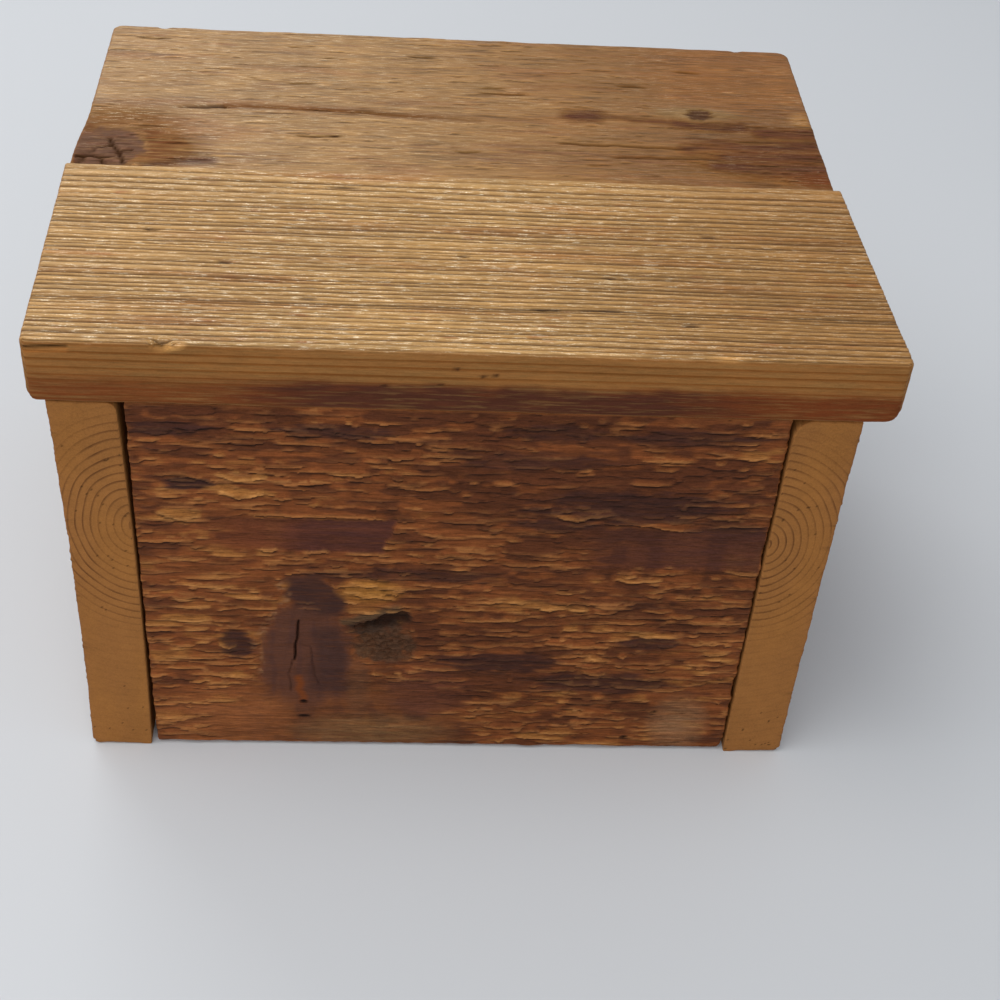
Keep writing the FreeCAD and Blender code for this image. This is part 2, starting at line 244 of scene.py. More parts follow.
class Skin:
    """The surface of one board, before and after it is worn."""

    def __init__(self, node, lines, coarse, wear):
        self.node = node
        self.low = np.array([axis[0] for axis in lines])
        self.high = np.array([axis[-1] for axis in lines])
        counts = [len(axis) for axis in lines]
        kept = np.zeros(counts, bool)
        for name in FACES:
            kept[layer_of(*face_of(name))] = True
        for name in coarse:
            axis, side = face_of(name)
            others = [counts[a] for a in range(3) if a != axis]
            plane = np.zeros(others, bool)
            plane[[0, -1], :] = True
            plane[:, [0, -1]] = True
            plane[np.ix_(*(coarse_lines(count) for count in others))] = True
            kept[layer_of(axis, side)] = plane
        index = np.full(counts, -1, np.int64)
        index[kept] = np.arange(kept.sum())
        where = np.argwhere(kept)
        self.flat = np.stack([lines[axis][where[:, axis]] for axis in range(3)], -1)
        self.quads, self.triangles = self.faces_of(index, coarse)
        radius = wear(*self.flat.T)[:, None]
        inner = np.clip(self.flat, self.low + radius, self.high - radius)
        arm = self.flat - inner
        self.normal = arm / np.linalg.norm(arm, axis=1, keepdims=True)
        self.points = inner + self.normal * radius
        self.lift = np.zeros(len(where))
        self.shift = np.zeros_like(self.flat)
        self.values = {}
        self.paint = Paint(len(where))

    @staticmethod
    def faces_of(index, coarse):
        quads, triangles = [], [NO_TRIANGLES]
        for name in FACES:
            axis, side = face_of(name)
            grid = index.take(side, axis=axis)
            flip = (side == 0) != (axis == 1)
            four, three = coarse_face(grid) if name in coarse else (grid_quads(grid), NO_TRIANGLES)
            quads.append(four[:, ::-1] if flip else four)
            triangles.append(three[:, ::-1] if flip else three)
        return np.concatenate(quads), np.concatenate(triangles)

    def part(self, *names):
        """How much each point belongs to the named faces, from 0 to 1."""
        total = 0.0
        for name in names:
            axis, side = face_of(name)
            outward = self.normal[:, axis] if side else -self.normal[:, axis]
            total = total + np.clip(outward, 0, 1) ** 2
        return total

    def round_corner(self, faces, radius):
        """Rounds the arris between two faces to a larger radius, which may change along it."""
        (a, a_side), (b, b_side) = (face_of(name) for name in faces)
        a_in, b_in = (-1 if side else 1 for side in (a_side, b_side))
        box = (self.low, self.high)
        u = radius - (self.points[:, a] - box[a_side][a]) * a_in
        v = radius - (self.points[:, b] - box[b_side][b]) * b_in
        inside = (u > 0) & (v > 0)
        scale = np.where(inside, np.maximum(u, v) / np.maximum(np.hypot(u, v), 1e-9), 1.0)
        self.points[:, a] += np.where(inside, u * (1 - scale) * a_in, 0)
        self.points[:, b] += np.where(inside, v * (1 - scale) * b_in, 0)

    def fill(self, **values):
        """Gives the skin every value that the wood material reads."""
        for key in ("ring", "late", "shade", "pit", "gloss", "dull", "rough"):
            usual = 1.0 if key == "rough" else 0.0
            self.values[key] = np.zeros(len(self.flat)) + values.get(key, usual)

    def build(self, name, bend=None):
        """The mesh object, in metres."""
        points = self.points + self.shift + self.normal * self.lift[:, None]
        if bend is not None:
            points = bend(points)
        mesh = bpy.data.meshes.new(name)
        counts = np.concatenate([np.full(len(self.quads), 4), np.full(len(self.triangles), 3)])
        loops = np.concatenate([self.quads.ravel(), self.triangles.ravel()])
        mesh.vertices.add(len(points))
        mesh.vertices.foreach_set("co", (points * MM).astype(np.float32).ravel())
        mesh.loops.add(len(loops))
        mesh.loops.foreach_set("vertex_index", loops.astype(np.int32))
        mesh.polygons.add(len(counts))
        starts = np.concatenate([[0], np.cumsum(counts)[:-1]])
        mesh.polygons.foreach_set("loop_start", starts.astype(np.int32))
        mesh.polygons.foreach_set("use_smooth", np.ones(len(counts), bool))
        mesh.update(calc_edges=True)
        for key, value in self.values.items():
            layer = mesh.attributes.new(key, "FLOAT", "POINT")
            layer.data.foreach_set("value", np.asarray(value, np.float32))
        layer = mesh.attributes.new("paint", "FLOAT_COLOR", "POINT")
        layer.data.foreach_set("color", self.paint.rgba().astype(np.float32).ravel())
        mesh.validate()
        mesh.set_sharp_from_angle(angle=SHARP_ANGLE)
        return linked(name, mesh)


def dented_edge(noise, ease, size, amount):
    """A wear function: the arris radius changes along the board."""

    def wear(x, y, z):
        dents = layered(noise, x / size, y / size, z / size)
        return ease * np.clip(1 + amount * dents, *DENT_RANGE)

    return wear


class Paint:
    """Colours laid over one another on a skin, each with its own amount."""

    def __init__(self, count):
        self.rgb = np.zeros((count, 3))
        self.amount = np.zeros(count)

    def over(self, shade, amount):
        amount = np.clip(amount, 0, 1)
        total = amount + self.amount * (1 - amount)
        fresh = np.array(colour(*shade)[:3])[None, :] * amount[:, None]
        kept = self.rgb * (self.amount * (1 - amount))[:, None]
        self.rgb = (fresh + kept) / np.maximum(total, 1e-6)[:, None]
        self.amount = total

    def on(self, face, *coats):
        """Lays coats on one face, each a colour and its amount there."""
        for shade, amount in coats:
            self.over(shade, face * amount)

    def rgba(self):
        return np.concatenate([self.rgb, self.amount[:, None]], 1)


# Torn fibres: lips that stand out of a face, each with a ramp behind it


def blurred(grid, axis, reach):
    """The grid with each value spread over its neighbours on one axis."""
    steps = range(-reach, reach + 1)
    return sum(np.roll(grid, step, axis) for step in steps) / len(steps)


class Fibres:
    """A torn face as a grid: u along the grain, v across it, with the lips facing down v."""

    # Step of the grid, and of the points along a lip
    PIXEL = 0.36
    SAMPLE = PIXEL * 0.8
    # How lips vary: powers above 1 make most of them short and low
    LENGTH_BIAS, LIFT_BIAS = 1.7, 1.5
    ROW_SCATTER, ROW_STEP = 0.45, (0.7, 1.3)
    TILT = 0.03
    BOW = (-0.2, 1.0)
    NEXT_LIP = (0.45, 1.1)
    # The lowest lip that counts, and how fast the mark below it fades
    LEAST_LIP = 0.03
    DROP_FADE = 0.5
    FAR_ABOVE = 99.0

    def __init__(self, u_span, v_span, seed, mask, spacing, run, lift, slope, gap,
                 sag=0.05, extra=(), soft=(14, 4)):
        self.u0, self.v0 = u_span[0], v_span[0]
        shape = [int((span[1] - span[0]) / self.PIXEL) + 2 for span in (u_span, v_span)]
        self.height = np.zeros(shape)
        self.tint = np.zeros(shape)
        draw = np.random.default_rng(seed)
        noise = Noise(seed + 1)
        row = 0
        base = v_span[0] - spacing
        while base < v_span[1] + spacing:
            row += 1
            u = u_span[0] - draw.uniform(0, run[1])
            while u < u_span[1]:
                length = run[0] + (run[1] - run[0]) * draw.uniform() ** self.LENGTH_BIAS
                size = lift[0] + (lift[1] - lift[0]) * draw.uniform() ** self.LIFT_BIAS
                place = base + draw.normal(0, spacing * self.ROW_SCATTER)
                tilt = draw.normal(0, self.TILT)
                bow = draw.uniform(*self.BOW) * sag * length
                hue = draw.uniform(-1, 1)
                keep = draw.uniform() > gap
                us = np.arange(u, u + length, self.SAMPLE)
                u += length * draw.uniform(*self.NEXT_LIP)
                if not keep:
                    continue
                t = np.linspace(-1, 1, len(us))
                wave = 0.5 * noise(us / 7.5, row * 3.1) + 0.14 * noise(us / 2.2, row * 5.7)
                vs = place + wave + tilt * t * length / 2 - bow * (1 - t * t)
                amount = size * (1 - t * t) ** 0.6 * (0.85 + 0.4 * noise(us / 3.0, row * 2.3))
                self.stamp(us, vs, amount * mask(us, vs), hue)
            base += spacing * draw.uniform(*self.ROW_STEP)
        for points, size, hue in extra:
            knots = np.array(points, float)
            us = np.arange(knots[0, 0], knots[-1, 0], self.SAMPLE)
            wave = 0.5 * noise(us / 5, 3.3) + 0.3 * noise(us / 1.8, 5.1)
            vs = np.interp(us, knots[:, 0], knots[:, 1]) + wave
            t = np.linspace(-1, 1, len(us))
            self.stamp(us, vs, size * (1 - t * t) ** 0.5 * (0.9 + 0.3 * noise(us / 4, 7.7)), hue)
        self.lean(slope)
        for axis in (0, 1, 0, 1):
            self.tint = blurred(self.tint, axis, soft[axis])

    def stamp(self, us, vs, amount, hue):
        """Puts one lip on the grid where it is higher than what is there."""
        nu, nv = self.height.shape
        i = np.round((us - self.u0) / self.PIXEL).astype(int)
        j = np.round((vs - self.v0) / self.PIXEL).astype(int)
        inside = (i >= 0) & (i < nu) & (j >= 0) & (j < nv - 1)
        i, j, amount = i[inside], j[inside], amount[inside]
        for row in (j, j + 1):
            higher = amount > self.height[i, row]
            self.height[i[higher], row[higher]] = amount[higher]
            self.tint[i[higher], row[higher]] = hue

    def lean(self, slope):
        """Adds the ramp behind each lip, the distance above it and the drop in front of it."""
        height, tint = self.height, self.tint
        above = np.full(height.shape, self.FAR_ABOVE)
        drop = np.zeros(height.shape)
        last = height.shape[1] - 1
        for j in range(1, last + 1):
            carried = height[:, j - 1] - slope * self.PIXEL
            fresh = (height[:, j] >= carried) & (height[:, j] > self.LEAST_LIP)
            above[:, j] = np.where(fresh, 0.0, above[:, j - 1] + self.PIXEL)
            tint[:, j] = np.where(fresh, tint[:, j], tint[:, j - 1])
            height[:, j] = np.maximum(height[:, j], carried)
        for j in range(last - 1, -1, -1):
            step = height[:, j + 1] - height[:, j]
            drop[:, j] = np.maximum(step, drop[:, j + 1] * self.DROP_FADE)
        self.above, self.drop = above, drop

    def at(self, u, v):
        """Height, drop, distance above the last lip and tint, between the grid points."""
        nu, nv = self.height.shape
        i = np.clip((u - self.u0) / self.PIXEL, 0, nu - 1.001)
        j = np.clip((v - self.v0) / self.PIXEL, 0, nv - 1.001)
        i0, j0 = i.astype(int), j.astype(int)
        s, t = i - i0, j - j0
        found = []
        for grid in (self.height, self.drop, self.above, self.tint):
            low = grid[i0, j0] * (1 - s) + grid[i0 + 1, j0] * s
            high = grid[i0, j0 + 1] * (1 - s) + grid[i0 + 1, j0 + 1] * s
            found.append(low * (1 - t) + high * t)
        return found


# Materials


class Tree:
    """A short way to write a material's nodes."""

    def __init__(self, name, owner=None):
        self.material = owner or bpy.data.materials.new(name)
        self.material.use_nodes = True
        self.nodes = self.material.node_tree.nodes
        self.links = self.material.node_tree.links
        self.nodes.clear()

    def add(self, kind, inputs=None, **settings):
        made = self.nodes.new(kind)
        for key, value in settings.items():
            setattr(made, key, value)
        for key, value in (inputs or {}).items():
            socket = made.inputs[key]
            if isinstance(value, bpy.types.NodeSocket):
                self.links.new(value, socket)
            else:
                socket.default_value = value
        return made

    def math(self, operation, a, b=0.0, clamp=False):
        return self.add("ShaderNodeMath", {0: a, 1: b}, operation=operation, use_clamp=clamp).outputs[0]

    def spread(self, value, low, high, to_low=0.0, to_high=1.0):
        inputs = {"Value": value, "From Min": low, "From Max": high, "To Min": to_low, "To Max": to_high}
        return self.add("ShaderNodeMapRange", inputs, interpolation_type="SMOOTHSTEP").outputs["Result"]

    def blend(self, amount, a, b):
        return self.add("ShaderNodeMix", {0: amount, 6: a, 7: b}, data_type="RGBA").outputs[2]

    def mixed(self, amount, a, b):
        return self.add("ShaderNodeMixShader", {0: amount, 1: a.outputs[0], 2: b.outputs[0]})

    def value(self, name, output="Fac"):
        return self.add("ShaderNodeAttribute", attribute_name=name).outputs[output]

    def grain(self, scale, detail=2.0, roughness=0.5, distortion=0.0):
        where = self.add("ShaderNodeTexCoord").outputs["Object"]
        stretched = self.add("ShaderNodeMapping", {"Vector": where, "Scale": scale}).outputs["Vector"]
        inputs = {"Vector": stretched, "Scale": 1.0, "Detail": detail, "Roughness": roughness}
        inputs["Distortion"] = distortion
        return self.add("ShaderNodeTexNoise", inputs).outputs["Fac"]

    def surface(self, height, strength, distance, **inputs):
        """The finished material, with bump from a height in millimetres."""
        bump = self.add("ShaderNodeBump", {"Height": height, "Strength": strength, "Distance": distance * MM})
        named = {key.replace("_", " "): value for key, value in inputs.items()}
        named["Normal"] = bump.outputs["Normal"]
        return self.finish(self.add("ShaderNodeBsdfPrincipled", named))

    def finish(self, shader):
        self.add("ShaderNodeOutputMaterial", {"Surface": shader.outputs[0]})
        return self.material


def colour(red, green, blue):
    """A display colour, 0 to 255, as the linear colour that a shader takes."""
    parts = [c / 255 for c in (red, green, blue)]
    linear = [c / 12.92 if c <= 0.04045 else ((c + 0.055) / 1.055) ** 2.4 for c in parts]
    return (*linear, 1.0)


def along(axis, length, across):
    """Scales per metre for a texture that is long on the grain's axis, from sizes in millimetres."""
    return tuple(1 / (MM * (length if a == axis else across)) for a in "xyz")


# Textures of the wood, as lengths along the grain and across it
BROAD_SIZE, STREAK_SIZE, SPECK_SIZE = (60.0, 5.0), (15.0, 0.9), (0.7, 0.4)
RUST_SCALE, GRIT_SCALE = (160.0,) * 3, (4000.0,) * 3


def wood(name, axis, early, late, pit, glint=(255, 255, 255), shine=0.2, roughness=0.55, relief=0.12,
         edge=(0.35, 0.85), fibre_size=(4.0, 0.42), dulled=False):
    """Timber from the values on its skin: rings, painted stains, torn fibres, painted glints, and painted
    shade in cracks, grooves and under lips, with a few dark specks.
    """
    tree = Tree(name)
    turn = tree.math("FRACT", tree.value("ring"))
    rise = tree.spread(turn, *edge)
    fall = tree.spread(turn, 0.94, 1.0, 1.0, 0.0)
    ring = tree.math("MULTIPLY", tree.math("MULTIPLY", rise, fall), tree.value("late"), clamp=True)
    broad = tree.grain(along(axis, *BROAD_SIZE), 3.0, 0.6)
    streak = tree.grain(along(axis, *STREAK_SIZE), 3.0, 0.65, 0.4)
    fibre = tree.grain(along(axis, *fibre_size), 2.0, 0.6, 0.3)
    speck = tree.grain(along(axis, *SPECK_SIZE), 2.0, 0.6)
    base = tree.blend(ring, colour(*early), colour(*late))
    broken = tree.spread(streak, 0.25, 0.6, 0.7, 1.1)
    painted = tree.math("MULTIPLY", tree.value("paint", "Alpha"), broken, clamp=True)
    base = tree.blend(painted, base, tree.value("paint", "Color"))
    # Painted highlight: glints of the glint colour laid into the base colour along the fibres, where the skin
    # asks for them
    painted_sparkle = tree.math("MULTIPLY", tree.spread(fibre, 0.52, 0.72), tree.spread(speck, 0.4, 0.62, 0.3, 1.0))
    painted_sparkle = tree.math("MULTIPLY", painted_sparkle, tree.value("gloss"), clamp=True)
    base = tree.blend(painted_sparkle, base, colour(*glint))
    tone = tree.spread(broad, 0.25, 0.75, -0.16, 0.16)
    for texture, dark, pale, amount in (
        (streak, 0.25, 0.75, 0.22), (fibre, 0.25, 0.75, 0.2), (speck, 0.3, 0.7, 0.08),
    ):
        tone = tree.math("ADD", tone, tree.spread(texture, dark, pale, -amount, amount))
    tone = tree.math("ADD", tree.math("MULTIPLY", tone, tree.value("rough")), tree.value("shade"))
    bright = tree.math("MAXIMUM", tree.math("ADD", tone, 1.0), 0.05)
    inputs = {"Hue": 0.5, "Saturation": 1.0, "Value": bright, "Fac": 1.0, "Color": base}
    base = tree.add("ShaderNodeHueSaturation", inputs).outputs[0]
    # Painted shade: cracks, grooves, holes and the places under lips take the dark colour, and so do a few
    # real dark specks
    base = tree.blend(tree.math("MULTIPLY", tree.value("pit"), 1.0, clamp=True), base, colour(*pit))
    height = tree.math("MULTIPLY", fibre, 0.8)
    for texture, amount in ((streak, 0.6), (speck, 0.25)):
        height = tree.math("ADD", height, tree.math("MULTIPLY", texture, amount))
    height = tree.math("MULTIPLY", height, tree.value("rough"))
    rough = tree.math("ADD", tree.spread(fibre, 0.2, 0.8, 0.12, -0.1), roughness)
    rough = tree.math("ADD", rough, tree.math("MULTIPLY", tree.value("pit"), 0.25), clamp=True)
    sheen = tree.spread(tree.value("dull"), 0.0, 1.0, shine, 0.0) if dulled else shine
    return tree.surface(height, 1.0, relief, Base_Color=base, Roughness=rough, Specular_IOR_Level=sheen)


def metal(name, clean, worn, roughness, amount, metallic=1.0):
    """Metal that has darkened or rusted in patches."""
    tree = Tree(name)
    patchy = tree.grain(RUST_SCALE, 5.0, 0.6)
    fine = tree.grain(GRIT_SCALE)
    cover = tree.spread(tree.math("ADD", patchy, tree.math("MULTIPLY", fine, 0.15)), *amount)
    base = tree.blend(cover, colour(*clean), colour(*worn))
    rough = tree.math("ADD", tree.math("MULTIPLY", cover, 0.3), roughness, clamp=True)
    return tree.surface(fine, 0.4, 0.05, Base_Color=base, Roughness=rough, Metallic=metallic)


# What comes from the solids


def node_box(name):
    low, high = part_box(name)
    return np.array(low) / MM, np.array(high) / MM


def node_points(name):
    return np.array([v.co for v in frame["nodes"][name].data.vertices]) / MM


def put(skin, name, body, material, bend=None):
    """Makes the skin's object and puts it in its CAD node's place."""
    made = skin.build(name, bend)
    made.data.materials.append(material)
    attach(made, body)
    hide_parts(skin.node)


# Lid, front board: raised grain along its length, sawn front edge

LID_FRONT_LEFT_SKEW = -1.6
LID_FRONT_RIGHT_SKEW = -4.3
GROOVE_DEPTH = 0.5
GROOVE_MARGIN = 5.0
DEEPEST = 1.5
LID_FRONT_RINGS = 90
LID_FRONT_RING = 1.35

# Short cracks in the top, as places and lengths
LID_CRACKS = (
    ((-47.9, -79.0), 8), ((27.2, -81.5), 12), ((-37.3, -13.0), 15), ((51.1, -62.9), 14),
    ((44.7, -81.1), 16), ((-100.0, -42.0), 7), ((86.0, -36.0), 8), ((2.0, -52.0), 6),
    ((72.0, -88.0), 7), ((-75.0, -60.0), 6),
)
EDGE_HOLES = ((-2, 177), (6, 174.5), (10, 175), (-7, 171), (-24, 170))


def solid_grooves(low, high):
    """Where the solid's main grooves lie, from front to back."""
    points = node_points("lid_front_board")
    deep = np.abs(points[:, 2] - high[2] + GROOVE_DEPTH) < GROOVE_DEPTH / 10
    bottoms = points[deep, 1]
    inner = (bottoms > low[1] + GROOVE_MARGIN) & (bottoms < high[1] - GROOVE_MARGIN)
    return np.unique(np.round(bottoms[inner]))


def lid_front():
    noise = Noise(11)
    draw = np.random.default_rng(12)
    low, high = node_box("lid_front_board")
    x0, x1 = low[0] - LID_FRONT_LEFT_SKEW, high[0]
    pith_y, pith_z = low[1] + 152.0, low[2] - 113.0
    first = math.hypot(high[1] - pith_y, low[2] - pith_z) - 2
    widths = np.clip(draw.lognormal(0, 0.27, LID_FRONT_RINGS), 0.5, 1.9)
    marks = first + np.cumsum(LID_FRONT_RING * widths)
    deep = draw.uniform(0.45, 1.35, len(marks))
    on_top = pith_y - np.sqrt(np.maximum(marks**2 - (high[2] - pith_z) ** 2, 0))
    in_front = pith_z + np.sqrt(np.maximum(marks**2 - (low[1] - pith_y) ** 2, 0))
    for main in solid_grooves(low, high):
        deep[np.abs(on_top - main).argmin()] = DEEPEST
    ease = 1.3
    y_marks = np.concatenate([on_top - 0.5, on_top, on_top + 0.46])
    xs = ruled(x0, x1, 1.1, ease)
    ys = with_arrises(low[1], high[1], ease, lambda a, b: filled(y_marks, a, b, 0.75))
    zs = with_arrises(low[2], high[2], ease, lambda a, b: filled(in_front, a, b, 0.8))
    skin = Skin("lid_front_board", [xs, ys, zs], ("-z",), dented_edge(noise, ease, 11.0, 0.4))
    x, y, z = skin.flat.T
    front_only = ramp(-y, -low[1] - 30, -low[1] - 8)
    skin.round_corner(("-x", "-z"), 0.2 + 3.6 * front_only)
    skin.round_corner(("+x", "-z"), 0.2 + (5.5 + 1.0 * noise(y / 3)) * front_only)
    skin.round_corner(("+x", "-y"), 3.0)
    skin.round_corner(("-x", "-y"), 2.4)
    top, front, under = (skin.part(name) for name in ("+z", "-y", "-z"))
    ends_part = skin.part("-x", "+x")
    ring = np.interp(np.hypot(y - pith_y, z - pith_z), marks, np.arange(len(marks)))

    # The groove nearest to each point, and how deep it is there
    order = np.argsort(on_top)
    line_number = order[np.abs(on_top[order][:, None] - ys[None, :]).argmin(0)]
    line_gap = np.abs(on_top[line_number] - ys)
    row = np.clip(np.searchsorted(ys, y), 0, len(ys) - 1)
    number, gap = line_number[row], line_gap[row]
    groove = np.clip(1 - gap / (0.42 + 0.12 * deep[number]), 0, 1)
    strength = deep[number] + 0.4 * noise(x / 50, number * 1.71) + 0.2 * noise(x / 9, number * 2.3)
    strength = np.clip(strength, 0, DEEPEST)

    # Relief
    wave = 0.8 * noise(x / 85, y / 30, 3.1) + 0.3 * noise(x / 24, y / 9, 5.7)
    wave = wave + 0.08 * noise(x / 7, y / 3, 1.7)
    skin.shift[:, 1] += top * ramp(np.minimum(y - low[1], high[1] - y), 0.5, 4.0) * wave
    inner_edge = ramp(np.minimum(z - low[2], high[2] - z), 0.5, 3.0)
    skin.shift[:, 2] += front * inner_edge * 0.25 * noise(x / 70, z / 7)
    plateau = 0.12 * noise(number * 0.77, x / 50) + 0.06 * noise(x / 4, y / 1.1) - 0.12
    skin.lift += top * (plateau + 0.18 * ramp(gap, 0.2, 0.9) - 0.55 * groove * strength)
    skin.lift += front * (0.03 * noise(x / 5, z / 1.5) - 0.02)
    skin.lift += ends_part * (0.12 * noise(y / 2.5, z / 2.5) - 0.1)
    skin.lift -= 0.1 * under
    wavy = y + 0.5 * noise(x / 5)
    crack = most(patch(x, wavy, place, (length / 2, 0.8)) for place, length in LID_CRACKS)
    skin.lift -= top * 0.6 * crack
    chip = spot(x, y, z, (-91.0, low[1] + 0.8, high[2] - 0.4), (4.6, 3.4, 3.0))
    curl = spot(x, y, z, (-88.6, low[1], high[2] - 1.7), (4.2, 1.6, 1.0))
    flap = spot(x, y, z, (-85.4, low[1] + 0.4, high[2] - 0.4), (2.6, 1.8, 1.6))
    torn = spot(x, y, z, (82.0, low[1] + 1.0, high[2]), (8, 1.7, 2))
    skin.lift += 0.7 * curl + 0.5 * flap
    skin.lift -= 1.9 * ramp(chip, 0.05, 0.6) * (1 + 0.4 * noise(x / 1.5, y / 1.5))
    split = ((x0, high[2] - 2.6), (x0 + 6, high[2] - 2.0), (x0 + 14, high[2] - 1.6))
    sliver = near_line(x, z, split, 0.8) * front
    skin.lift -= 0.6 * sliver

    # Stains and colours
    stain_line = 170.8 + 1.2 * noise(x / 30) + 1.0 * noise(x / 6)
    stain_start = ramp(x + 12 * noise(z / 1.6, 2.0), -88, -34)
    stain_end = ramp(-x + 12 * noise(z / 1.6, 5.0), -104, -55)
    stain = 0.85 + 0.4 * noise(x / 16, z / 2.2) + 0.3 * noise(x / 20, z / 0.7)
    stain = stain * ramp(stain_line - z, -1.6, 2.4) * stain_start * stain_end
    holes = most(ramp(-oval(x, z, place, (1.6, 0.7)), -1, -0.5) for place in EDGE_HOLES)
    right = ramp(x, 0, 135)
    low_edge = ramp(172 - z + 2 * noise(x / 25), -2, 6 - 2 * right)
    pale_line = near_line(x, z, ((x0, high[2] - 4.4), (x0 + 14, high[2] - 3.0)), 1.2)
    paint = skin.paint
    paint.on(
        top,
        ((164, 112, 62), 0.7 * ramp(layered(noise, x / 70, y / 8, 2.0), 0.0, 0.8)),
        ((152, 104, 50), 0.6 * right),
        ((150, 88, 48), 0.6 * ramp(noise(x / 9, y / 1.6, 4.4), 0.55, 0.8)),
    )
    paint.on(
        front,
        ((138, 78, 32), 0.6),
        ((118, 60, 32), (0.65 + 0.2 * right) * low_edge),
        ((80, 47, 37), np.clip(stain, 0, 0.85)),
        # Painted shade in the small holes of the front edge, which are not cut
        ((58, 36, 24), 0.75 * holes),
    )
    paint.over((134, 86, 48), ends_part * 0.7)
    paint.over((190, 122, 62), front * 0.7 * pale_line)
    paint.over((164, 116, 70), under * 0.5)
    paint.over((214, 158, 92), np.clip(1.6 * curl + torn * 1.1 + 1.2 * flap + 0.7 * chip, 0, 0.85))
    # Painted shadow in the chip's hollow
    chip_shade = 0.9 * ramp(chip, 0.3, 0.6) * ramp(-x, 89, 91)
    skin.fill(
        ring=ring,
        late=top * 0.3 + front * (0.95 + 0.4 * noise(x / 60, ring * 0.5)) + 0.6 * (ends_part + under),
        shade=top * (0.04 - 0.1 * right) - 0.1 * ends_part - 0.15 * front,
        # Painted glints on the top, fewer to the right
        gloss=top * np.clip(0.75 - 0.4 * right + 0.3 * noise(x / 40, y / 14, 8.8), 0, 1),
        # Painted shade in the grooves, the cracks, the chip and the split
        pit=np.clip(top * (1.2 * groove * strength + crack) + chip_shade + sliver, 0, 1),
        dull=0.8 * (1 - top),
        rough=0.85 * top + 0.5 * (1 - top),
    )

    def bend(points):
        t = (points[:, 1] - low[1]) / (high[1] - low[1])
        s = (points[:, 0] - x0) / (x1 - x0)
        points = points.copy()
        points[:, 0] += t * (LID_FRONT_LEFT_SKEW * (1 - s) + LID_FRONT_RIGHT_SKEW * s)
        return points

    material = wood(
        "lid_front_wood", "x", (186, 144, 88), (138, 96, 50), (64, 40, 18), (253, 238, 206),
        shine=0.24, roughness=0.4, relief=0.18, edge=(0.5, 0.9), fibre_size=(5.0, 0.46), dulled=True,
    )
    put(skin, "lid_front_timber", "lid", material, bend)


# Lid, rear board: weathered, with a dark knot at its left front corner

BIG_KNOT = (-122.5, 11.5)
SMALL_KNOT = (91.6, 50.3)
REAR_NICKS = (-112.8, 112.7)
REAR_SEAM = ((-84, 44.2), (-61, 44.2), (-31, 42.5), (-15, 41.2), (8, 40))

# Short dark lines in the top, each from its start to its end
REAR_DASHES = (
    ((-95, 67.2), (-86, 66.6)), ((-79, 67.9), (-70, 63.2)), ((-53, 83.7), (-42, 83.7)),
    ((-66, 92.9), (-56, 91.5)), ((-100, 93.4), (-91, 92.3)), ((-124, 94.5), (-106, 95.5)),
    ((-65, 62.8), (-49, 63.3)), ((7, 60.8), (31, 60.7)), ((8, 64.4), (22, 64.8)),
    ((-4, 16.9), (11, 17.0)), ((45, 10.7), (53, 10.5)), ((35, 25.5), (89, 24.6)),
    ((54, 17.0), (98, 18.6)), ((-60, 24.0), (-38, 24.6)), ((60, 71), (76, 70)),
    ((-20, 88), (-4, 87)), ((84, 84), (98, 83)),
)

# Cracks of the big knot, as points and widths
KNOT_RAYS = (
    (((-122.5, 18), (-121, 14), (-118.5, 9.5), (-116.5, 4), (-115, -1)), 1.2),
    (((-121, 14), (-124, 11.5), (-126, 12)), 0.7),
    (((-118.5, 9.5), (-114, 10.5)), 0.7),
    (((-131, 5), (-127.5, 6.2), (-124, 4.6), (-122, 0)), 1.1),
    (((-127.5, 6.2), (-127, 10)), 0.8),
    (((-124, 4.6), (-120, 5.5)), 0.8),
    (((-129, 5.5), (-130, 1)), 0.9),
)

# Brown streaks on the right, as points, widths and amounts
BROWN_STREAKS = (
    (((44, 46.8), (48, 47.0), (51, 47.4)), 7.5, 1.2),
    (((51, 47), (76, 44.2), (94, 41.4)), 3.0, 0.7),
    (((82, 43.0), (90, 41.4), (98, 40.8), (106, 42)), 5.0, 1.0),
    (((114, 38.9), (122, 38.6), (136, 39.7)), 6.5, 1.1),
    (((84, 25.5), (100, 27), (136, 31)), 5.5, 0.9),
    (((98, 20), (112, 21), (136, 22)), 4.5, 0.8),
    (((94, 13.8), (110, 13), (136, 13.7)), 5.5, 0.9),
)


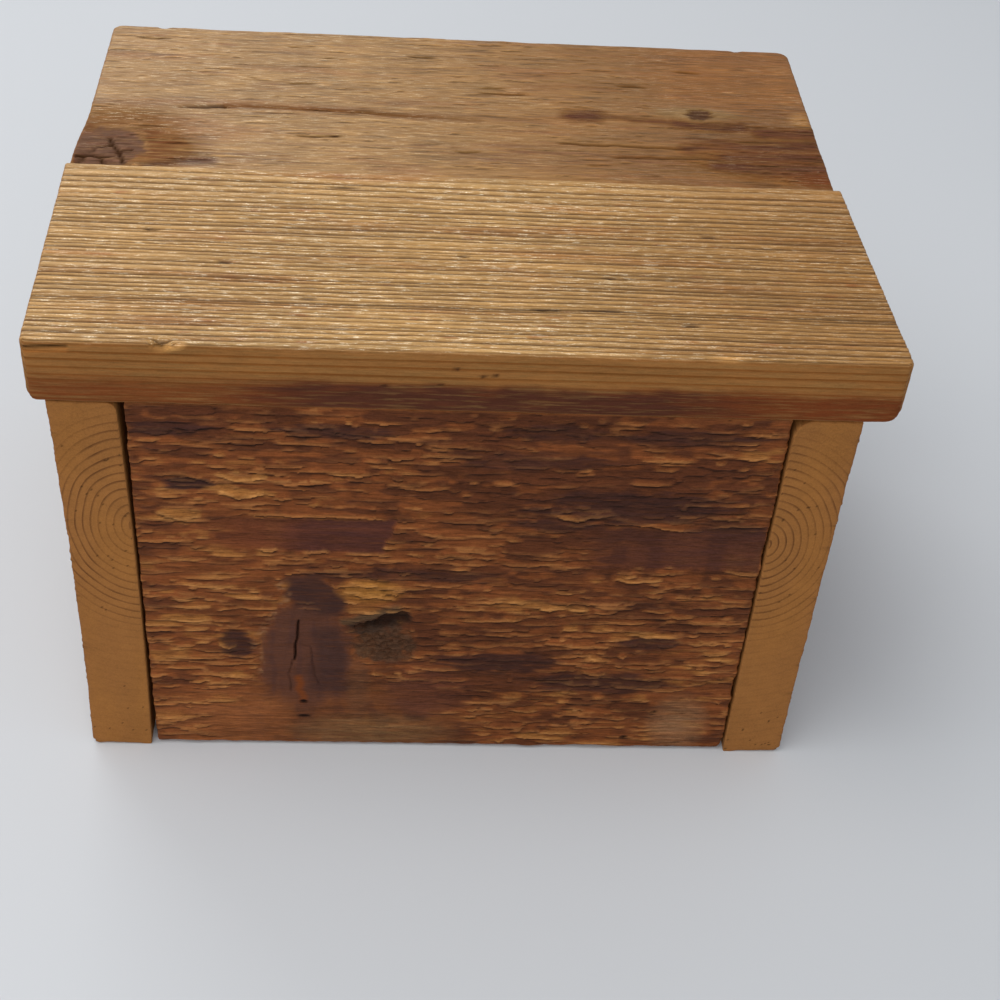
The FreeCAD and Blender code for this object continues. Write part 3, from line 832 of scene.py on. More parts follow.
def lid_rear():
    noise = Noise(23)
    low, high = node_box("lid_rear_board")
    ease = 1.6
    lines = board_lines(low, high, (1.15, 0.46, 1.1), ease)
    skin = Skin("lid_rear_board", lines, ("-z",), dented_edge(noise, ease, 12.0, 0.25))
    x, y, z = skin.flat.T
    skin.round_corner(("-x", "+y"), 4.0)
    skin.round_corner(("+x", "+y"), 5.0)
    top, front, under, back = (skin.part(name) for name in ("+z", "-y", "-z", "+y"))
    ends_part = skin.part("-x", "+x")
    near_small = np.exp(-(((x - SMALL_KNOT[0]) / 30) ** 2))
    beside = y - SMALL_KNOT[1]
    across = y + 2.5 * near_small * np.sign(beside) * np.exp(-np.abs(beside) / 9)
    pith_y, pith_z, period = 62.0, low[2] - 45.0, 1.7
    wobble = 2.2 * noise(x / 110, y / 45) + 0.8 * noise(x / 35, y / 12)
    ring = (np.hypot(across - pith_y, z - pith_z) + wobble) / period

    def smooth_at(u, v):
        return ramp(u, 60, 95) * ramp(v, 52, 66)

    def cover(u, v):
        return np.clip(0.95 - 0.75 * smooth_at(u, v) + 0.4 * noise(u / 40, v / 12, 5.0), 0.1, 1.2)

    # Torn fibres, cracks and short dark lines
    torn_face = Fibres(
        (low[0], high[0]), (low[1], high[1]), 301, cover,
        spacing=2.1, run=(4, 24), lift=(0.05, 0.34), slope=0.12, gap=0.3, sag=0.01,
    )
    height, drop, rise, tint = torn_face.at(x, y)
    skin.lift += top * (height - 0.22 + 0.18 * noise(x / 70, y / 18) + 0.05 * noise(x / 3, y / 0.9))
    crack = near_line(x, y + 0.3 * noise(x / 5), ((-106, 41.7), (-93, 42.4), (-84, 43.2)), 1.2)
    crack = crack * ramp(x, -107, -92)
    seam = near_line(x, y + 0.5 * noise(x / 9), REAR_SEAM, 2.4) * (1 - 0.6 * ramp(x, -34, 0))

    def dash(start, end):
        fade = ramp(x, start[0], start[0] + 5) * ramp(-x, -end[0], -end[0] + 7)
        return fade * near_line(x, y + 0.6 * noise(x / 6, start[1]), (start, end), 1.2)

    dashes = most(dash(start, end) for start, end in REAR_DASHES)
    skin.lift -= top * (1.3 * crack + 0.45 * seam + 0.4 * dashes)

    # Knots
    ragged = 1 + 0.16 * noise(x / 5, y / 4) + 0.08 * noise(x / 1.7, y / 1.5)
    far_big = oval(x, y, BIG_KNOT, (13.0, 13.5)) * ragged
    knot = ramp(-far_big, -1.08, -0.86)
    halo = ramp(-oval(x - 6, y, BIG_KNOT, (38, 22)) * ragged, -1.0, -0.35)
    wander = 0.5 * noise(x / 2.6, y / 2.6)
    rays = most(near_line(x + wander, y - wander, points, width) for points, width in KNOT_RAYS)
    skin.lift -= top * knot * (0.3 + 0.2 * noise(x / 5, y / 4)) + (top + front) * rays * knot * 0.9
    skin.lift -= top * 1.3 * patch(x, y, (low[0], low[1] - 2), (20, 9))
    ragged_small = ragged + 0.3 * noise(x / 3, y / 1.5, 5.0)
    knot_small = ramp(-oval(x, y, SMALL_KNOT, (5.4, 4.4)) * ragged_small, -1.1, -0.6)
    lens = np.abs((x - SMALL_KNOT[0] + 2) / 22) ** 1.3 + np.abs((beside - 0.5) / 7) ** 1.3
    halo_small = ramp(-lens * ragged_small, -1.1, -0.3)
    skin.lift += top * (0.35 * halo_small - 0.45 * knot_small)

    # Edges
    for nick in REAR_NICKS:
        skin.lift -= 1.1 * spot(x, y, z, (nick, high[1], high[2]), (2.6, 2.2, 2.6))
    skin.shift[:, 0] -= 1.6 * ramp(-x, 126, 132) * ramp(-y, -38, -8)
    skin.lift += front * (0.08 * noise(x / 8, z / 2) - 0.1)
    skin.lift += ends_part * (0.15 * noise(y / 2.5, z / 2.5) - 0.14)
    skin.lift += back * (0.05 * noise(x / 8, z / 2) - 0.07) - 0.1 * under

    # Stains and colours
    right = ramp(x, -60, 120)
    streaks = noise(x / 26, y / 1.5, 6.0) + 0.5 * noise(x / 9, y / 0.9, 7.0)

    def streak(points, width, amount):
        wavy = y + 1.2 * noise(x / 14, points[0][1]) + 0.5 * noise(x / 4, points[0][1])
        return amount * near_line(x, wavy, points, width)

    brown = most(streak(*each) for each in BROWN_STREAKS)
    dusky = patch(x, y, (-120, 31), (30, 15))
    low_right = ramp(-oval(x, y, (132, 18), (62, 22)), -1.0, -0.35)
    mid_front = patch(x, y, (36, 15), (60, 12)) + patch(x, y, (-84, 6), (34, 8))
    warm_seam = ramp(-np.abs(y - 42 + x / 60), -5, -1) * ramp(-x, -50, 20)
    dark_edge = near_line(x, y + noise(x / 5), ((-108, 0), (-96, 3.4), (-86, 4.4)), 3.6)
    mottled = 0.85 + 0.3 * noise(x / 2.5, y / 2.5)
    rim = ramp(-np.abs(far_big - 1.05), -0.16, -0.02) * ramp(x + y, -112, -92)
    paint = skin.paint
    paint.on(
        top,
        ((132, 85, 42), 0.8 * right),
        ((158, 102, 48), 0.6 * smooth_at(x, y)),
        ((150, 98, 54), 0.5 * ramp(layered(noise, x / 60, y / 7, 2.0), 0.1, 0.8)),
        ((132, 76, 42), 0.55 * ramp(streaks, 0.35, 1.0)),
        ((116, 68, 32), np.clip(0.8 * seam + 0.3 * warm_seam, 0, 0.7)),
        ((112, 62, 32), np.clip(0.95 * halo * (0.75 + 0.5 * streaks), 0, 0.85)),
        ((70, 38, 26), 0.85 * dark_edge),
        ((104, 54, 34), 0.8 * ramp(-x, 126, 131) * ramp(-y, -36, -20)),
        ((112, 66, 40), np.clip(0.8 * mid_front * (0.3 + 0.8 * streaks), 0, 0.8)),
        ((112, 66, 40), np.clip(low_right * (0.5 + 0.4 * streaks), 0, 0.7)),
        ((96, 58, 44), np.clip(brown * (0.95 + 0.7 * streaks), 0, 0.85)),
        ((120, 62, 34), 0.7 * patch(x, y, (131, 6), (14, 7))),
        ((180, 128, 66), 0.6 * patch(x, y, (131, 49), (7, 8))),
        ((120, 76, 44), 0.7 * dusky),
        ((152, 118, 72), np.clip(halo_small * (0.75 + 0.4 * streaks), 0, 0.85)),
        ((78, 48, 36), 0.9 * knot_small),
    )
    paint.on(top + front, ((112, 82, 66), 0.95 * knot * mottled))
    paint.on(
        top,
        ((138, 100, 78), 0.6 * knot * ramp(noise(x / 4, y / 3.4, 9.0), 0.25, 0.6)),
        ((180, 136, 88), 0.4 * rim),
    )
    paint.on(front, ((74, 46, 40), 0.9 * patch(x, y, (low[0], low[1]), (40, 20))))
    paint.on(ends_part, ((128, 80, 46), 0.65))
    lit = ramp(-rise, -0.9, -0.1) * ramp(height, 0.1, 0.3)
    scratches = ramp(noise(x / 20, y / 0.9, 3.0) + 0.3 * noise(x / 30, y / 9, 4.0), 0.3, 0.5)
    flecks = ramp(noise(x / 11, y / 0.8, 9.0) + 0.3 * noise(x / 30, y / 9, 6.0), 0.34, 0.6)
    # The lit lips are painted brighter, a painted highlight
    top_shade = 0.1 * tint + 0.2 * lit - 0.14 - 0.26 * scratches + 0.28 * flecks - 0.06 * ramp(x, 40, 90)
    stained = 1.2 * halo + knot + knot_small + dusky + dashes + brown + low_right + seam
    # Painted glints go on the top, fewer to the right and fewer on the knot
    glint_amount = (0.5 - 0.4 * ramp(x, -90, 60)) * (1 - knot) * (1 - 0.7 * halo)
    # Painted shade under the lips and in the cracks, seam and dashes
    recess_shade = 0.7 * ramp(drop, 0.06, 0.22) + 1.4 * crack + 0.25 * seam + 0.75 * dashes
    late_top = 0.3 + 0.25 * noise(x / 40, np.floor(ring) * 0.8)
    skin.fill(
        ring=ring,
        late=top * late_top + 0.6 * (front + back + ends_part + under),
        shade=top * top_shade - 0.1 * ends_part,
        dull=np.clip(stained + 0.45 * ramp(x, -80, 60) + front + ends_part, 0, 0.85),
        gloss=top * np.clip(glint_amount + 0.25 * noise(x / 30, y / 10, 1.1), 0, 1),
        pit=np.clip(top * recess_shade + 1.3 * rays * knot, 0, 1),
        rough=0.62,
    )
    material = wood(
        "lid_rear_wood", "x", (176, 134, 82), (142, 100, 58), (58, 36, 20), (250, 230, 192),
        shine=0.24, roughness=0.42, relief=0.18, fibre_size=(6.0, 0.5), dulled=True,
    )
    put(skin, "lid_rear_timber", "lid", material)


# Side boards: end grain in front, weathered outside

SIDES = {
    "left": {
        "sign": -1, "seed": 41, "dots_seed": 43, "cup": 1.2, "top_round": 3.0, "pith_z": 109.2,
        "outer": "-x", "inner": "+x",
    },
    "right": {
        "sign": 1, "seed": 53, "dots_seed": 57, "cup": 0.4, "top_round": 6.5, "pith_z": 106.8,
        "outer": "+x", "inner": "-x",
    },
}
NAIL_GROUPS = ("left_front_corner_nails", "left_rear_corner_nails", "left_floor_nails")
NAIL_HEAD = 2.5
NAIL_APART = 7


def nail_places():
    """The nails of a side board, as (y, z)."""
    places = []
    for group in NAIL_GROUPS:
        points = node_points(group)
        heads = points[points[:, 0] < points[:, 0].min() + NAIL_HEAD, 1:]
        for y, z in heads:
            if not any(math.hypot(y - ny, z - nz) < NAIL_APART for ny, nz in places):
                close = heads[np.hypot(heads[:, 0] - y, heads[:, 1] - z) < NAIL_APART]
                places.append(tuple((close.min(0) + close.max(0)) / 2))
    return places


def side_board(side):
    made = SIDES[side]
    sign, cup = made["sign"], made["cup"]
    noise = Noise(made["seed"])
    draw = np.random.default_rng(made["dots_seed"])
    node = side + "_side_board"
    low, high = node_box(node)
    if side == "left":
        high[0] -= cup
        inner, outside = high[0], low[0]
    else:
        low[0] += cup
        inner, outside = low[0], high[0]
    ease = 1.2
    dented = dented_edge(noise, ease, 9.0, 0.6)

    def wear(x, y, z):
        return dented(x, y, z) * (0.35 + 0.65 * ramp(np.abs(x - inner), 2.0, 6.0))

    skin = Skin(node, board_lines(low, high, (0.6, 1.0, 0.62), ease), (made["inner"],), wear)
    x, y, z = skin.flat.T
    front_only = ramp(-y, -low[1] - 45, -low[1] - 12)
    skin.round_corner((made["inner"], "+z"), 0.3 + made["top_round"] * front_only)
    skin.round_corner((made["outer"], "-z"), 0.3 + 3.0 * front_only)
    outer, inside = skin.part(made["outer"]), skin.part(made["inner"])
    ends_part = skin.part("-y", "+y")
    edges = skin.part("+z", "-z")
    pith_in, squash, period = 1.2, 0.73, 2.45
    far = np.hypot(x - inner + sign * pith_in, (z - made["pith_z"]) * squash)
    far = far + 0.5 * noise(x / 14, y / 60, z / 14) + (noise(y / 70, z / 30) * 1.5) * (1 - ends_part)
    ring = far / period

    def cover(u, v):
        return np.clip(0.75 + 0.5 * noise(u / 40, v / 16, 9.1), 0.1, 1)

    # Torn outer face, flat round the nails, and sawn ends
    torn_face = Fibres(
        (low[1], high[1]), (low[2], high[2]), 401 + sign, cover,
        spacing=2.4, run=(8, 34), lift=(0.08, 0.6), slope=0.2, gap=0.2,
    )
    height, drop, rise, tint = torn_face.at(y, z)
    nails = most(ramp(-np.hypot(y - ny, z - nz), -7.0, -3.4) for ny, nz in nail_places())
    torn_lift = height - 0.55 + 0.2 * noise(y / 60, z / 20) + 0.05 * noise(y / 3, z / 0.9)
    skin.lift += outer * (torn_lift * (1 - nails) - 0.12 * nails)
    skin.lift += ends_part * (0.05 * noise(x / 1.8, z / 1.8) - 0.06 + 0.1 * noise(x / 9, z / 30))
    rim = np.exp(-np.abs(x - outside) / 1.6) * ends_part
    notch = ramp(layered(noise, z / 2.6, y / 8, 3.0), 0.25, 0.7)
    skin.lift -= rim * (0.25 + 0.5 * notch)
    skin.lift -= edges * 0.08 + inside * 0.05

    # Dark specks on the rings and colours, with painted highlights on the lips and painted shade under them
    # and in the notches
    turn = ring - np.floor(ring)
    near_ring = ramp(turn, 0.5, 0.8) * ramp(-far, -40, -10) * ramp(noise(x / 6, z / 6, 3.0), -0.3, 0.3)
    scuffs = ramp(noise(x / 5, z / 3, 6.0), 0.1, 0.5) * ramp(-z, -34, -10)
    dots = (draw.uniform(size=len(x)) < 0.045 * near_ring + 0.05 * scuffs) * ends_part
    saw = layered(noise, x / 30, z / 1.2, 5.0)
    blot = np.clip(0.3 + 0.8 * layered(noise, y / 60, z / 16, 4.0), 0, 1)
    pale = ramp(tint + 0.5 * layered(noise, y / 18, z / 2.4, 2.0), 0.15, 0.8)
    lit = ramp(-rise, -0.8, -0.1) * ramp(height, 0.12, 0.4)
    paint = skin.paint
    paint.on(
        ends_part,
        ((160, 106, 50), 0.5 * ramp(noise(x / 16, z / 40, 7.0), -0.2, 0.6)),
        ((150, 98, 52), 0.6 * rim),
    )
    paint.on(
        outer,
        ((108, 66, 40), np.clip(0.25 + 0.6 * blot, 0, 0.8)),
        ((180, 130, 78), 0.3 * pale),
        # Painted highlight on the lit lips
        ((190, 142, 90), 0.4 * lit),
        ((70, 40, 26), 0.85 * nails),
    )
    paint.on(edges, ((142, 94, 52), 0.5))
    paint.on(inside, ((172, 120, 70), 0.4))
    late_end = 0.12 + 0.85 * ramp(-far, -38, -26) * (0.75 + 0.5 * noise(x / 7, z / 7))
    outer_shade = 0.1 * tint - 0.08 + 0.14 * noise(y / 14, z / 0.9, 4.0)
    end_shade = 0.05 * noise(x / 12, z / 25) + 0.03 * saw - 0.03 * (sign > 0) - 0.09 * ramp(z, 125, 150)
    skin.fill(
        ring=ring,
        late=np.clip(ends_part * late_end + 0.5 * (1 - ends_part), 0, 1),
        shade=outer * outer_shade + ends_part * end_shade - 0.05 * edges,
        # Painted shade under the lips and in the rim's notches, with real dark specks on the ends
        pit=np.clip(outer * ramp(drop, 0.05, 0.3) * 0.8 + 0.6 * rim * notch + 0.75 * dots, 0, 1),
        rough=outer + 0.35 * (1 - outer),
    )
    half = (high[2] - low[2]) / 2
    middle = (high[2] + low[2]) / 2

    def bend(points):
        points = points.copy()
        points[:, 0] -= sign * cup * (1 - ((points[:, 2] - middle) / half) ** 2)
        return points

    material = wood(
        side + "_side_wood", "y", (154, 102, 52), (98, 58, 27), (46, 26, 14),
        shine=0.12, roughness=0.65, relief=0.10, edge=(0.62, 0.92),
    )
    put(skin, side + "_side_timber", "carcass", material, bend)


# Front board: torn and flaked all over, with smooth dark bands and a knot

FRONT_KNOT = (-50, 46)
SMEAR = (-46, 77)
SMEAR_SIZE = (10.5, 10.5)
KNOT_LINES = np.arange(-66, -12, 0.5)

# Larger lips, as points, heights and tints
FRONT_LIPS = (
    (((31, 119.5), (35, 115.6), (40, 114.6), (45, 116.6), (55, 117.8)), 1.3, 0.6),
    (((51, 116.2), (62, 113.6), (75, 111.2), (84, 111)), 1.2, 0.2),
    (((-6, 96.5), (0, 98), (8, 96.6)), 1.1, 0.2),
    (((55, 87.4), (64, 86.8), (73, 88.2)), 1.0, 0.8),
    (((-37, 82.4), (-33, 83.2), (-28, 82.2), (-24, 82.8)), 0.8, 1.0),
    (((-26, 80.6), (-21, 81.8), (-15, 80.9), (-9, 81.4)), 0.9, 1.0),
    (((-37, 79.6), (-33, 78.8), (-29, 79.4)), 0.7, 1.2),
    (((-31, 76.4), (-25, 77.4), (-18, 76.2)), 0.8, 1.2),
    (((-37, 74.6), (-33, 73.9), (-30, 74.5)), 0.7, 0.6),
    (((-72, 114.6), (-55, 113.8), (-40, 114.2), (-20, 112.8)), 0.9, 0.1),
    (((-78, 131.5), (-70, 128.6), (-60, 130.5)), 1.1, 0.8),
    (((-77, 124.5), (-70, 121.2), (-61, 123.5)), 1.1, 1.0),
    (((-98, 114.5), (-90, 111.8), (-82, 113)), 1.0, 1.0),
    (((-98, 130.5), (-88, 131.5), (-77, 127)), 0.9, -0.2),
    (((-52.5, 71.2), (-48, 71.0), (-43.5, 70.2)), 0.6, -0.4),
    (((-53, 74.2), (-49, 73.6), (-45, 73.4)), 0.5, -0.4),
    (((-80, 52.8), (-76, 51.6), (-73, 52.4)), 0.9, 1.4),
)
KNOT_CRACK = ((-51.8, 65), (-52.4, 58), (-53.0, 51.5), (-53.6, 45))
FAINT_CRACKS = (
    ((-54.2, 45), (-55.5, 38), (-55, 29)),
    ((-47.6, 52), (-47.4, 44), (-45.4, 33)),
)
HOLLOW = ((-31, 62.4), (-24, 64.6), (-19, 66.8), (-16.5, 67.4))
EAVE = ((-36, 65.5), (-28, 68.2), (-18, 72.6))
ORANGE_STREAK = ((-52.3, 36), (-51.6, 31), (-50.8, 24))
PALE_TIPS = ((-58, 83), (-55, 76), (-61, 67), (-67, 54), (-65, 37))

# Small holes, as places and sizes
FRONT_DOTS = (
    ((-50.6, 23.4), (2.0, 1.3)), ((-50.5, 15.7), (3.2, 1.0)), ((68, 7), (2.0, 0.9)), ((78, 21), (1.6, 0.7)),
)

# Golden and dull areas, as places, sizes and amounts
GOLDEN_AREAS = (
    ((-80, 62), (32, 60), 0.55), ((75, 30), (50, 45), 0.32), ((10, 45), (40, 24), -0.5),
    ((50, 130), (60, 16), -0.5), ((-60, 130), (40, 20), 0.35), ((100, 140), (9, 30), 0.5),
    ((-68, 126), (14, 9), 0.7), ((-90, 114), (10, 4), 0.7), ((20, 76), (40, 7), 0.5),
    ((42, 117), (14, 5), 0.7),
)

# Dark stains, as places, sizes and amounts
FRONT_STAINS = (
    ((58, 121), (44, 9), 0.8), ((19, 46), (28, 7), 0.8), ((56, 36), (34, 7), 0.8),
    ((-87, 127.5), (11, 4), 1.0), ((-41, 150), (24, 4), 0.8), ((76, 151), (30, 4), 0.7),
    ((22, 140), (34, 5), 0.6), ((-73, 53), (8, 9), 0.9), ((-92, 150), (16, 4), 0.8),
    ((30, 152), (20, 4), 0.6), ((-10, 16.5), (5, 4), 0.8), ((92, 112), (16, 6), 0.7),
    ((-18, 88), (46, 4), 0.6), ((60, 76), (40, 3), 0.3), ((34, 113), (20, 4), 0.7),
    ((72, 57), (14, 4), 0.8),
)


def front_board():
    noise = Noise(71)
    low, high = node_box("front_board")
    ease = 1.3
    lines = board_lines(low, high, (1.0, 2.0, 0.54), ease)
    lines[0] = np.unique(np.concatenate([lines[0], KNOT_LINES]))
    skin = Skin("front_board", lines, ("+y",), dented_edge(noise, ease, 8.0, 0.5))
    x, y, z = skin.flat.T
    skin.round_corner(("+x", "-z"), 3.6)
    skin.round_corner(("-x", "-z"), 1.8)
    face, inside, left, right = (skin.part(name) for name in ("-y", "+y", "-x", "+x"))
    ends_part = skin.part("-x", "+x")
    edges = skin.part("+z", "-z")

    def knot_at(u, v):
        rag = 1 + 0.12 * noise(u / 6, v / 8, 4.0) + 0.07 * noise(u / 2, v / 2, 5.0)
        return oval(u, v, FRONT_KNOT, (16, 27)) * rag

    def smear_at(u, v):
        rag = 1 + 0.22 * noise(u / 6, v / 4, 6.0)
        return oval(u + 0.5 * (v - SMEAR[1]), v, SMEAR, SMEAR_SIZE) * rag

    def worn_at(u, v):
        rag = 1 + 0.25 * noise(u / 14, v / 5, 7.0)
        return ramp(-oval(u, v, (-38, 12), (54, 32)) * rag, -1.05, -0.6)

    def bands_at(u, v):
        wave = 1.1 * noise(u / 9, v / 20, 2.2) + 0.6 * noise(u / 2.6, v / 20, 3.2)
        end = 2.0 * noise(v / 2.2, u / 40, 1.2)
        sway = 1.6 * noise(u / 24, 8.2)
        band_a = ramp(u + 4 * end, -92, -62) * ramp(-u + 0.6 * end + 0.3 * (v - 112), 18.5, 20.5)
        band_a = band_a * ramp(v + wave + sway, 97.6, 99.4) * ramp(-v + wave + 0.6 * sway, -113.5, -111.8)
        band_b = ramp(u + 4 * end, 36, 66) * ramp(v + wave, 92.5, 94.5) * ramp(-v + wave, -112, -110)
        return band_a, band_b

    def cover(u, v):
        bare = most((
            *bands_at(u, v),
            ramp(-knot_at(u, v), -1.12, -0.95),
            0.95 * ramp(-smear_at(u, v), -1.1, -0.85),
            0.72 * worn_at(u, v),
            ramp(patch(u, v, (-22.5, 54), (14, 11)), 0.0, 0.4),
            0.7 * patch(u, v, (87, 15), (13, 17)),
        ))
        rich = 0.95 + 0.35 * noise(u / 30, v / 14, 8.0) + 0.25 * patch(u, v, (60, 60), (60, 40))
        return np.clip((1 - bare) * rich, 0.0, 1.3)

    # Torn face, with smooth places
    torn_face = Fibres(
        (low[0], high[0]), (low[2], high[2]), 700, cover,
        spacing=1.5, run=(3, 22), lift=(0.15, 0.95), slope=0.28, gap=0.06,
        sag=0.07, extra=FRONT_LIPS, soft=(3, 1),
    )
    height, drop, rise, tint = torn_face.at(x, z)
    band_a, band_b = bands_at(x, z)
    far_knot = knot_at(x, z)
    knot = ramp(-far_knot, -1.15, -0.8) * ramp(z + 4 * noise(x / 4), 10, 34)
    smear = ramp(-smear_at(x, z), -1.12, -0.72)
    worn = worn_at(x, z)
    fuzz = patch(x, z, (-22.5, 54.5), (14, 11))
    fuzz = ramp(fuzz + 0.5 * noise(x / 3.4, z / 2.2, 2.6), 0.0, 0.6) * ramp(fuzz, 0.0, 0.15)
    smooth = most((band_a, band_b, knot, smear))
    ridges = (1 - smooth) * (1 - 0.7 * worn)
    level = 0.25 * noise(x / 45, z / 22) + 0.36 * ridges * noise(x / 18, z / 2.8, 4.0) - 0.5 - 0.25 * smooth
    skin.lift += face * (level + height + 0.07 * noise(x / 3.2, z / 0.9) + 0.06 * noise(x / 9, z / 0.8))
    knot_rings = 0.12 * np.cos(far_knot * 9 + 2 * noise(x / 6, z / 6))
    skin.lift += face * knot * (knot_rings + 0.15 * noise(x / 4, z / 12))
    skin.lift += face * fuzz * 1.3 * noise(x / 2.1, z / 1.4, 7.1)

    # Cracks and holes
    swayed = x + 0.5 * noise(z / 5)
    faint = most(near_line(swayed, z, points, 0.6) for points in FAINT_CRACKS)
    crack = np.maximum(near_line(swayed, z, KNOT_CRACK, 0.6), 0.35 * faint)
    hollow = near_line(x, z + 0.6 * noise(x / 3), HOLLOW, 5.0)
    hollow = hollow * (1 + 0.4 * noise(x / 2.2, z / 1.6, 4.0))
    hole = ramp(hollow - 0.4 * ramp(-x, 19, 31), 0.12, 0.7)
    eave = near_line(x, z + 0.5 * noise(x / 4), EAVE, 3.0)
    dots = most(ramp(-oval(x, z, place, size), -1, -0.4) for place, size in FRONT_DOTS)
    skin.lift += face * (0.7 * ramp(eave, 0.1, 0.7) - 1.2 * crack - 2.4 * hole - 0.5 * dots)

    # Ends and edges
    skin.lift += ends_part * (0.1 * noise(y / 2.5, z / 1.5) - 0.1) - 0.06 * edges - 0.05 * inside
    skin.lift -= left * (0.8 + 2.2 * ramp(z, 122, 158))
    skin.lift -= right * np.clip(0.45 + 0.6 * layered(noise, z / 4.0, y / 30), 0, 1.2)
    right_rim = np.exp(-(high[0] - x) / 1.2) * face
    skin.lift -= right_rim * np.clip(0.9 * layered(noise, z / 3.5, 2.0), 0, 0.9)

    # Stains and colours
    wobble = 2.0 * noise(x / 80, z / 30) + 0.7 * noise(x / 25, z / 8)
    pith_y, pith_z, squash, period = low[1] + 60, 70, 0.9, 2.1
    ring = (np.hypot(y - pith_y, (z - pith_z) * squash) + wobble) / period
    streaks = noise(x / 22, z / 1.6, 6.0) + 0.5 * noise(x / 8, z / 0.9, 7.0)
    golden = -0.3 - 0.35 * ramp(z, 140, 158) - 0.2 * ramp(x, -40, 0) * ramp(z, 84, 96)
    for place, size, amount in GOLDEN_AREAS:
        golden = golden + amount * patch(x, z, place, size)
    hue = np.clip(tint + golden + 0.4 * noise(x / 30, z / 6, 5.5), -1.4, 1.6)
    rag = 0.45 * layered(noise, x / 12, z / 2.0, 1.0)

    def stained(place, size, amount):
        ragged = ramp(patch(x, z, place, size) + rag, 0.15, 0.7)
        return amount * ragged * (patch(x, z, place, size, 4) > 0)

    stain = most(stained(*each) for each in FRONT_STAINS)
    lit = ramp(-rise, -1.2, -0.2) * ramp(height, 0.15, 0.5)
    tips = near_line(x, z, PALE_TIPS, 2.4) * ramp(noise(x / 2.2, z / 1.5, 3.7), 0.0, 0.5)
    dark_end = ramp(x + 10 * noise(z / 4, x / 20), -66, -44) * (0.8 + 0.3 * streaks)
    knot_grain = ramp(noise(x / 2.4, z / 16, 8.0) + 0.4 * noise(x / 1.2, z / 7), 0, 0.7)
    dark_side = ramp(x + 3 * noise(z / 9, x / 5), -50, -43) * ramp(-x + 3 * noise(z / 7, x / 5), 31, 38)
    dark_side = dark_side * ramp(z + 3 * noise(x / 4), 22, 32) * ramp(-z, -66, -58)
    orange = ramp(near_line(x + noise(z / 4), z, ORANGE_STREAK, 2.4), 0, 0.9)
    paint = skin.paint
    paint.on(
        face,
        ((166, 110, 54), 0.66 * ramp(hue, 0.15, 1.1)),
        ((84, 45, 26), 0.8 * ramp(-hue, 0.1, 0.9)),
        ((62, 36, 30), stain),
        ((114, 68, 38), 0.7 * worn * (0.8 + 0.3 * streaks)),
        ((84, 50, 36), 0.5 * worn * ramp(layered(noise, x / 9, z / 12, 3.0), -0.1, 0.5)),
        ((148, 88, 48), 0.9 * patch(x, z, (-80, 14), (28, 20)) * (0.9 + 0.4 * streaks)),
        ((150, 108, 74), 0.9 * patch(x, z, (87, 14), (13, 18)) * (0.9 + 0.4 * streaks)),
        ((132, 96, 60), 0.8 * patch(x, z, (-26, 8), (34, 11)) * (0.8 + 0.4 * streaks)),
        ((104, 58, 42), 0.6 * patch(x, z, (-6, 30), (18, 16))),
        ((116, 62, 36), 0.85 * band_a),
        ((72, 40, 36), 0.9 * band_a * dark_end),
        ((80, 45, 36), 0.85 * band_b * (0.85 + 0.2 * streaks)),
        ((63, 39, 34), 0.9 * smear),
        ((92, 56, 42), 0.9 * knot),
        ((78, 48, 42), 0.5 * knot * knot_grain),
        ((66, 42, 37), 0.75 * dark_side),
        ((108, 70, 46), 0.6 * patch(x, z, (-31, 32), (5, 22))),
        ((120, 61, 25), orange),
        ((84, 58, 40), 0.85 * fuzz),
        # Painted shade in the hollow below the eave
        ((58, 42, 32), 0.75 * ramp(hollow, 0.0, 0.5)),
        ((84, 66, 46), 0.8 * ramp(eave, 0.1, 0.8)),
        ((188, 130, 54), 0.55 * patch(x, z, (-27.5, 80), (13, 7))),
        ((150, 104, 70), 0.8 * tips),
        # Painted highlight on the lit lips
        ((184, 128, 72), np.clip(lit * (0.34 + 0.28 * hue) * (1 - 0.75 * stain), 0, 0.7)),
    )
    paint.over((150, 96, 52), np.clip(0.6 * ends_part + 0.75 * edges, 0, 0.8))
    fine = 0.17 * noise(x / 12, z / 0.8, 2.9) * (1 - 0.6 * smooth)
    # Painted shade under the lips
    recess_shade = 0.9 * ramp(drop, 0.08, 0.4) * (1 - knot)
    skin.fill(
        ring=ring,
        late=0.35 * face + 0.6 * ends_part + 0.6 * edges + 0.5 * inside,
        # Raised fibres are painted brighter, a painted highlight
        shade=face * (0.16 * ramp(height, 0.1, 0.8) - 0.05 - 0.09 * ramp(x, -55, 0) + fine),
        # Painted shade in the cracks, the hole and the small holes
        pit=np.clip(face * (recess_shade + crack + 0.65 * hole + dots), 0, 1),
        rough=1.0 - 0.4 * face * np.maximum(knot, smear),
    )
    material = wood("front_wood", "x", (130, 72, 36), (102, 56, 28), (30, 16, 11), shine=0.1, relief=0.16)
    put(skin, "front_timber", "carcass", material)


# Back board, floor boards and cleats


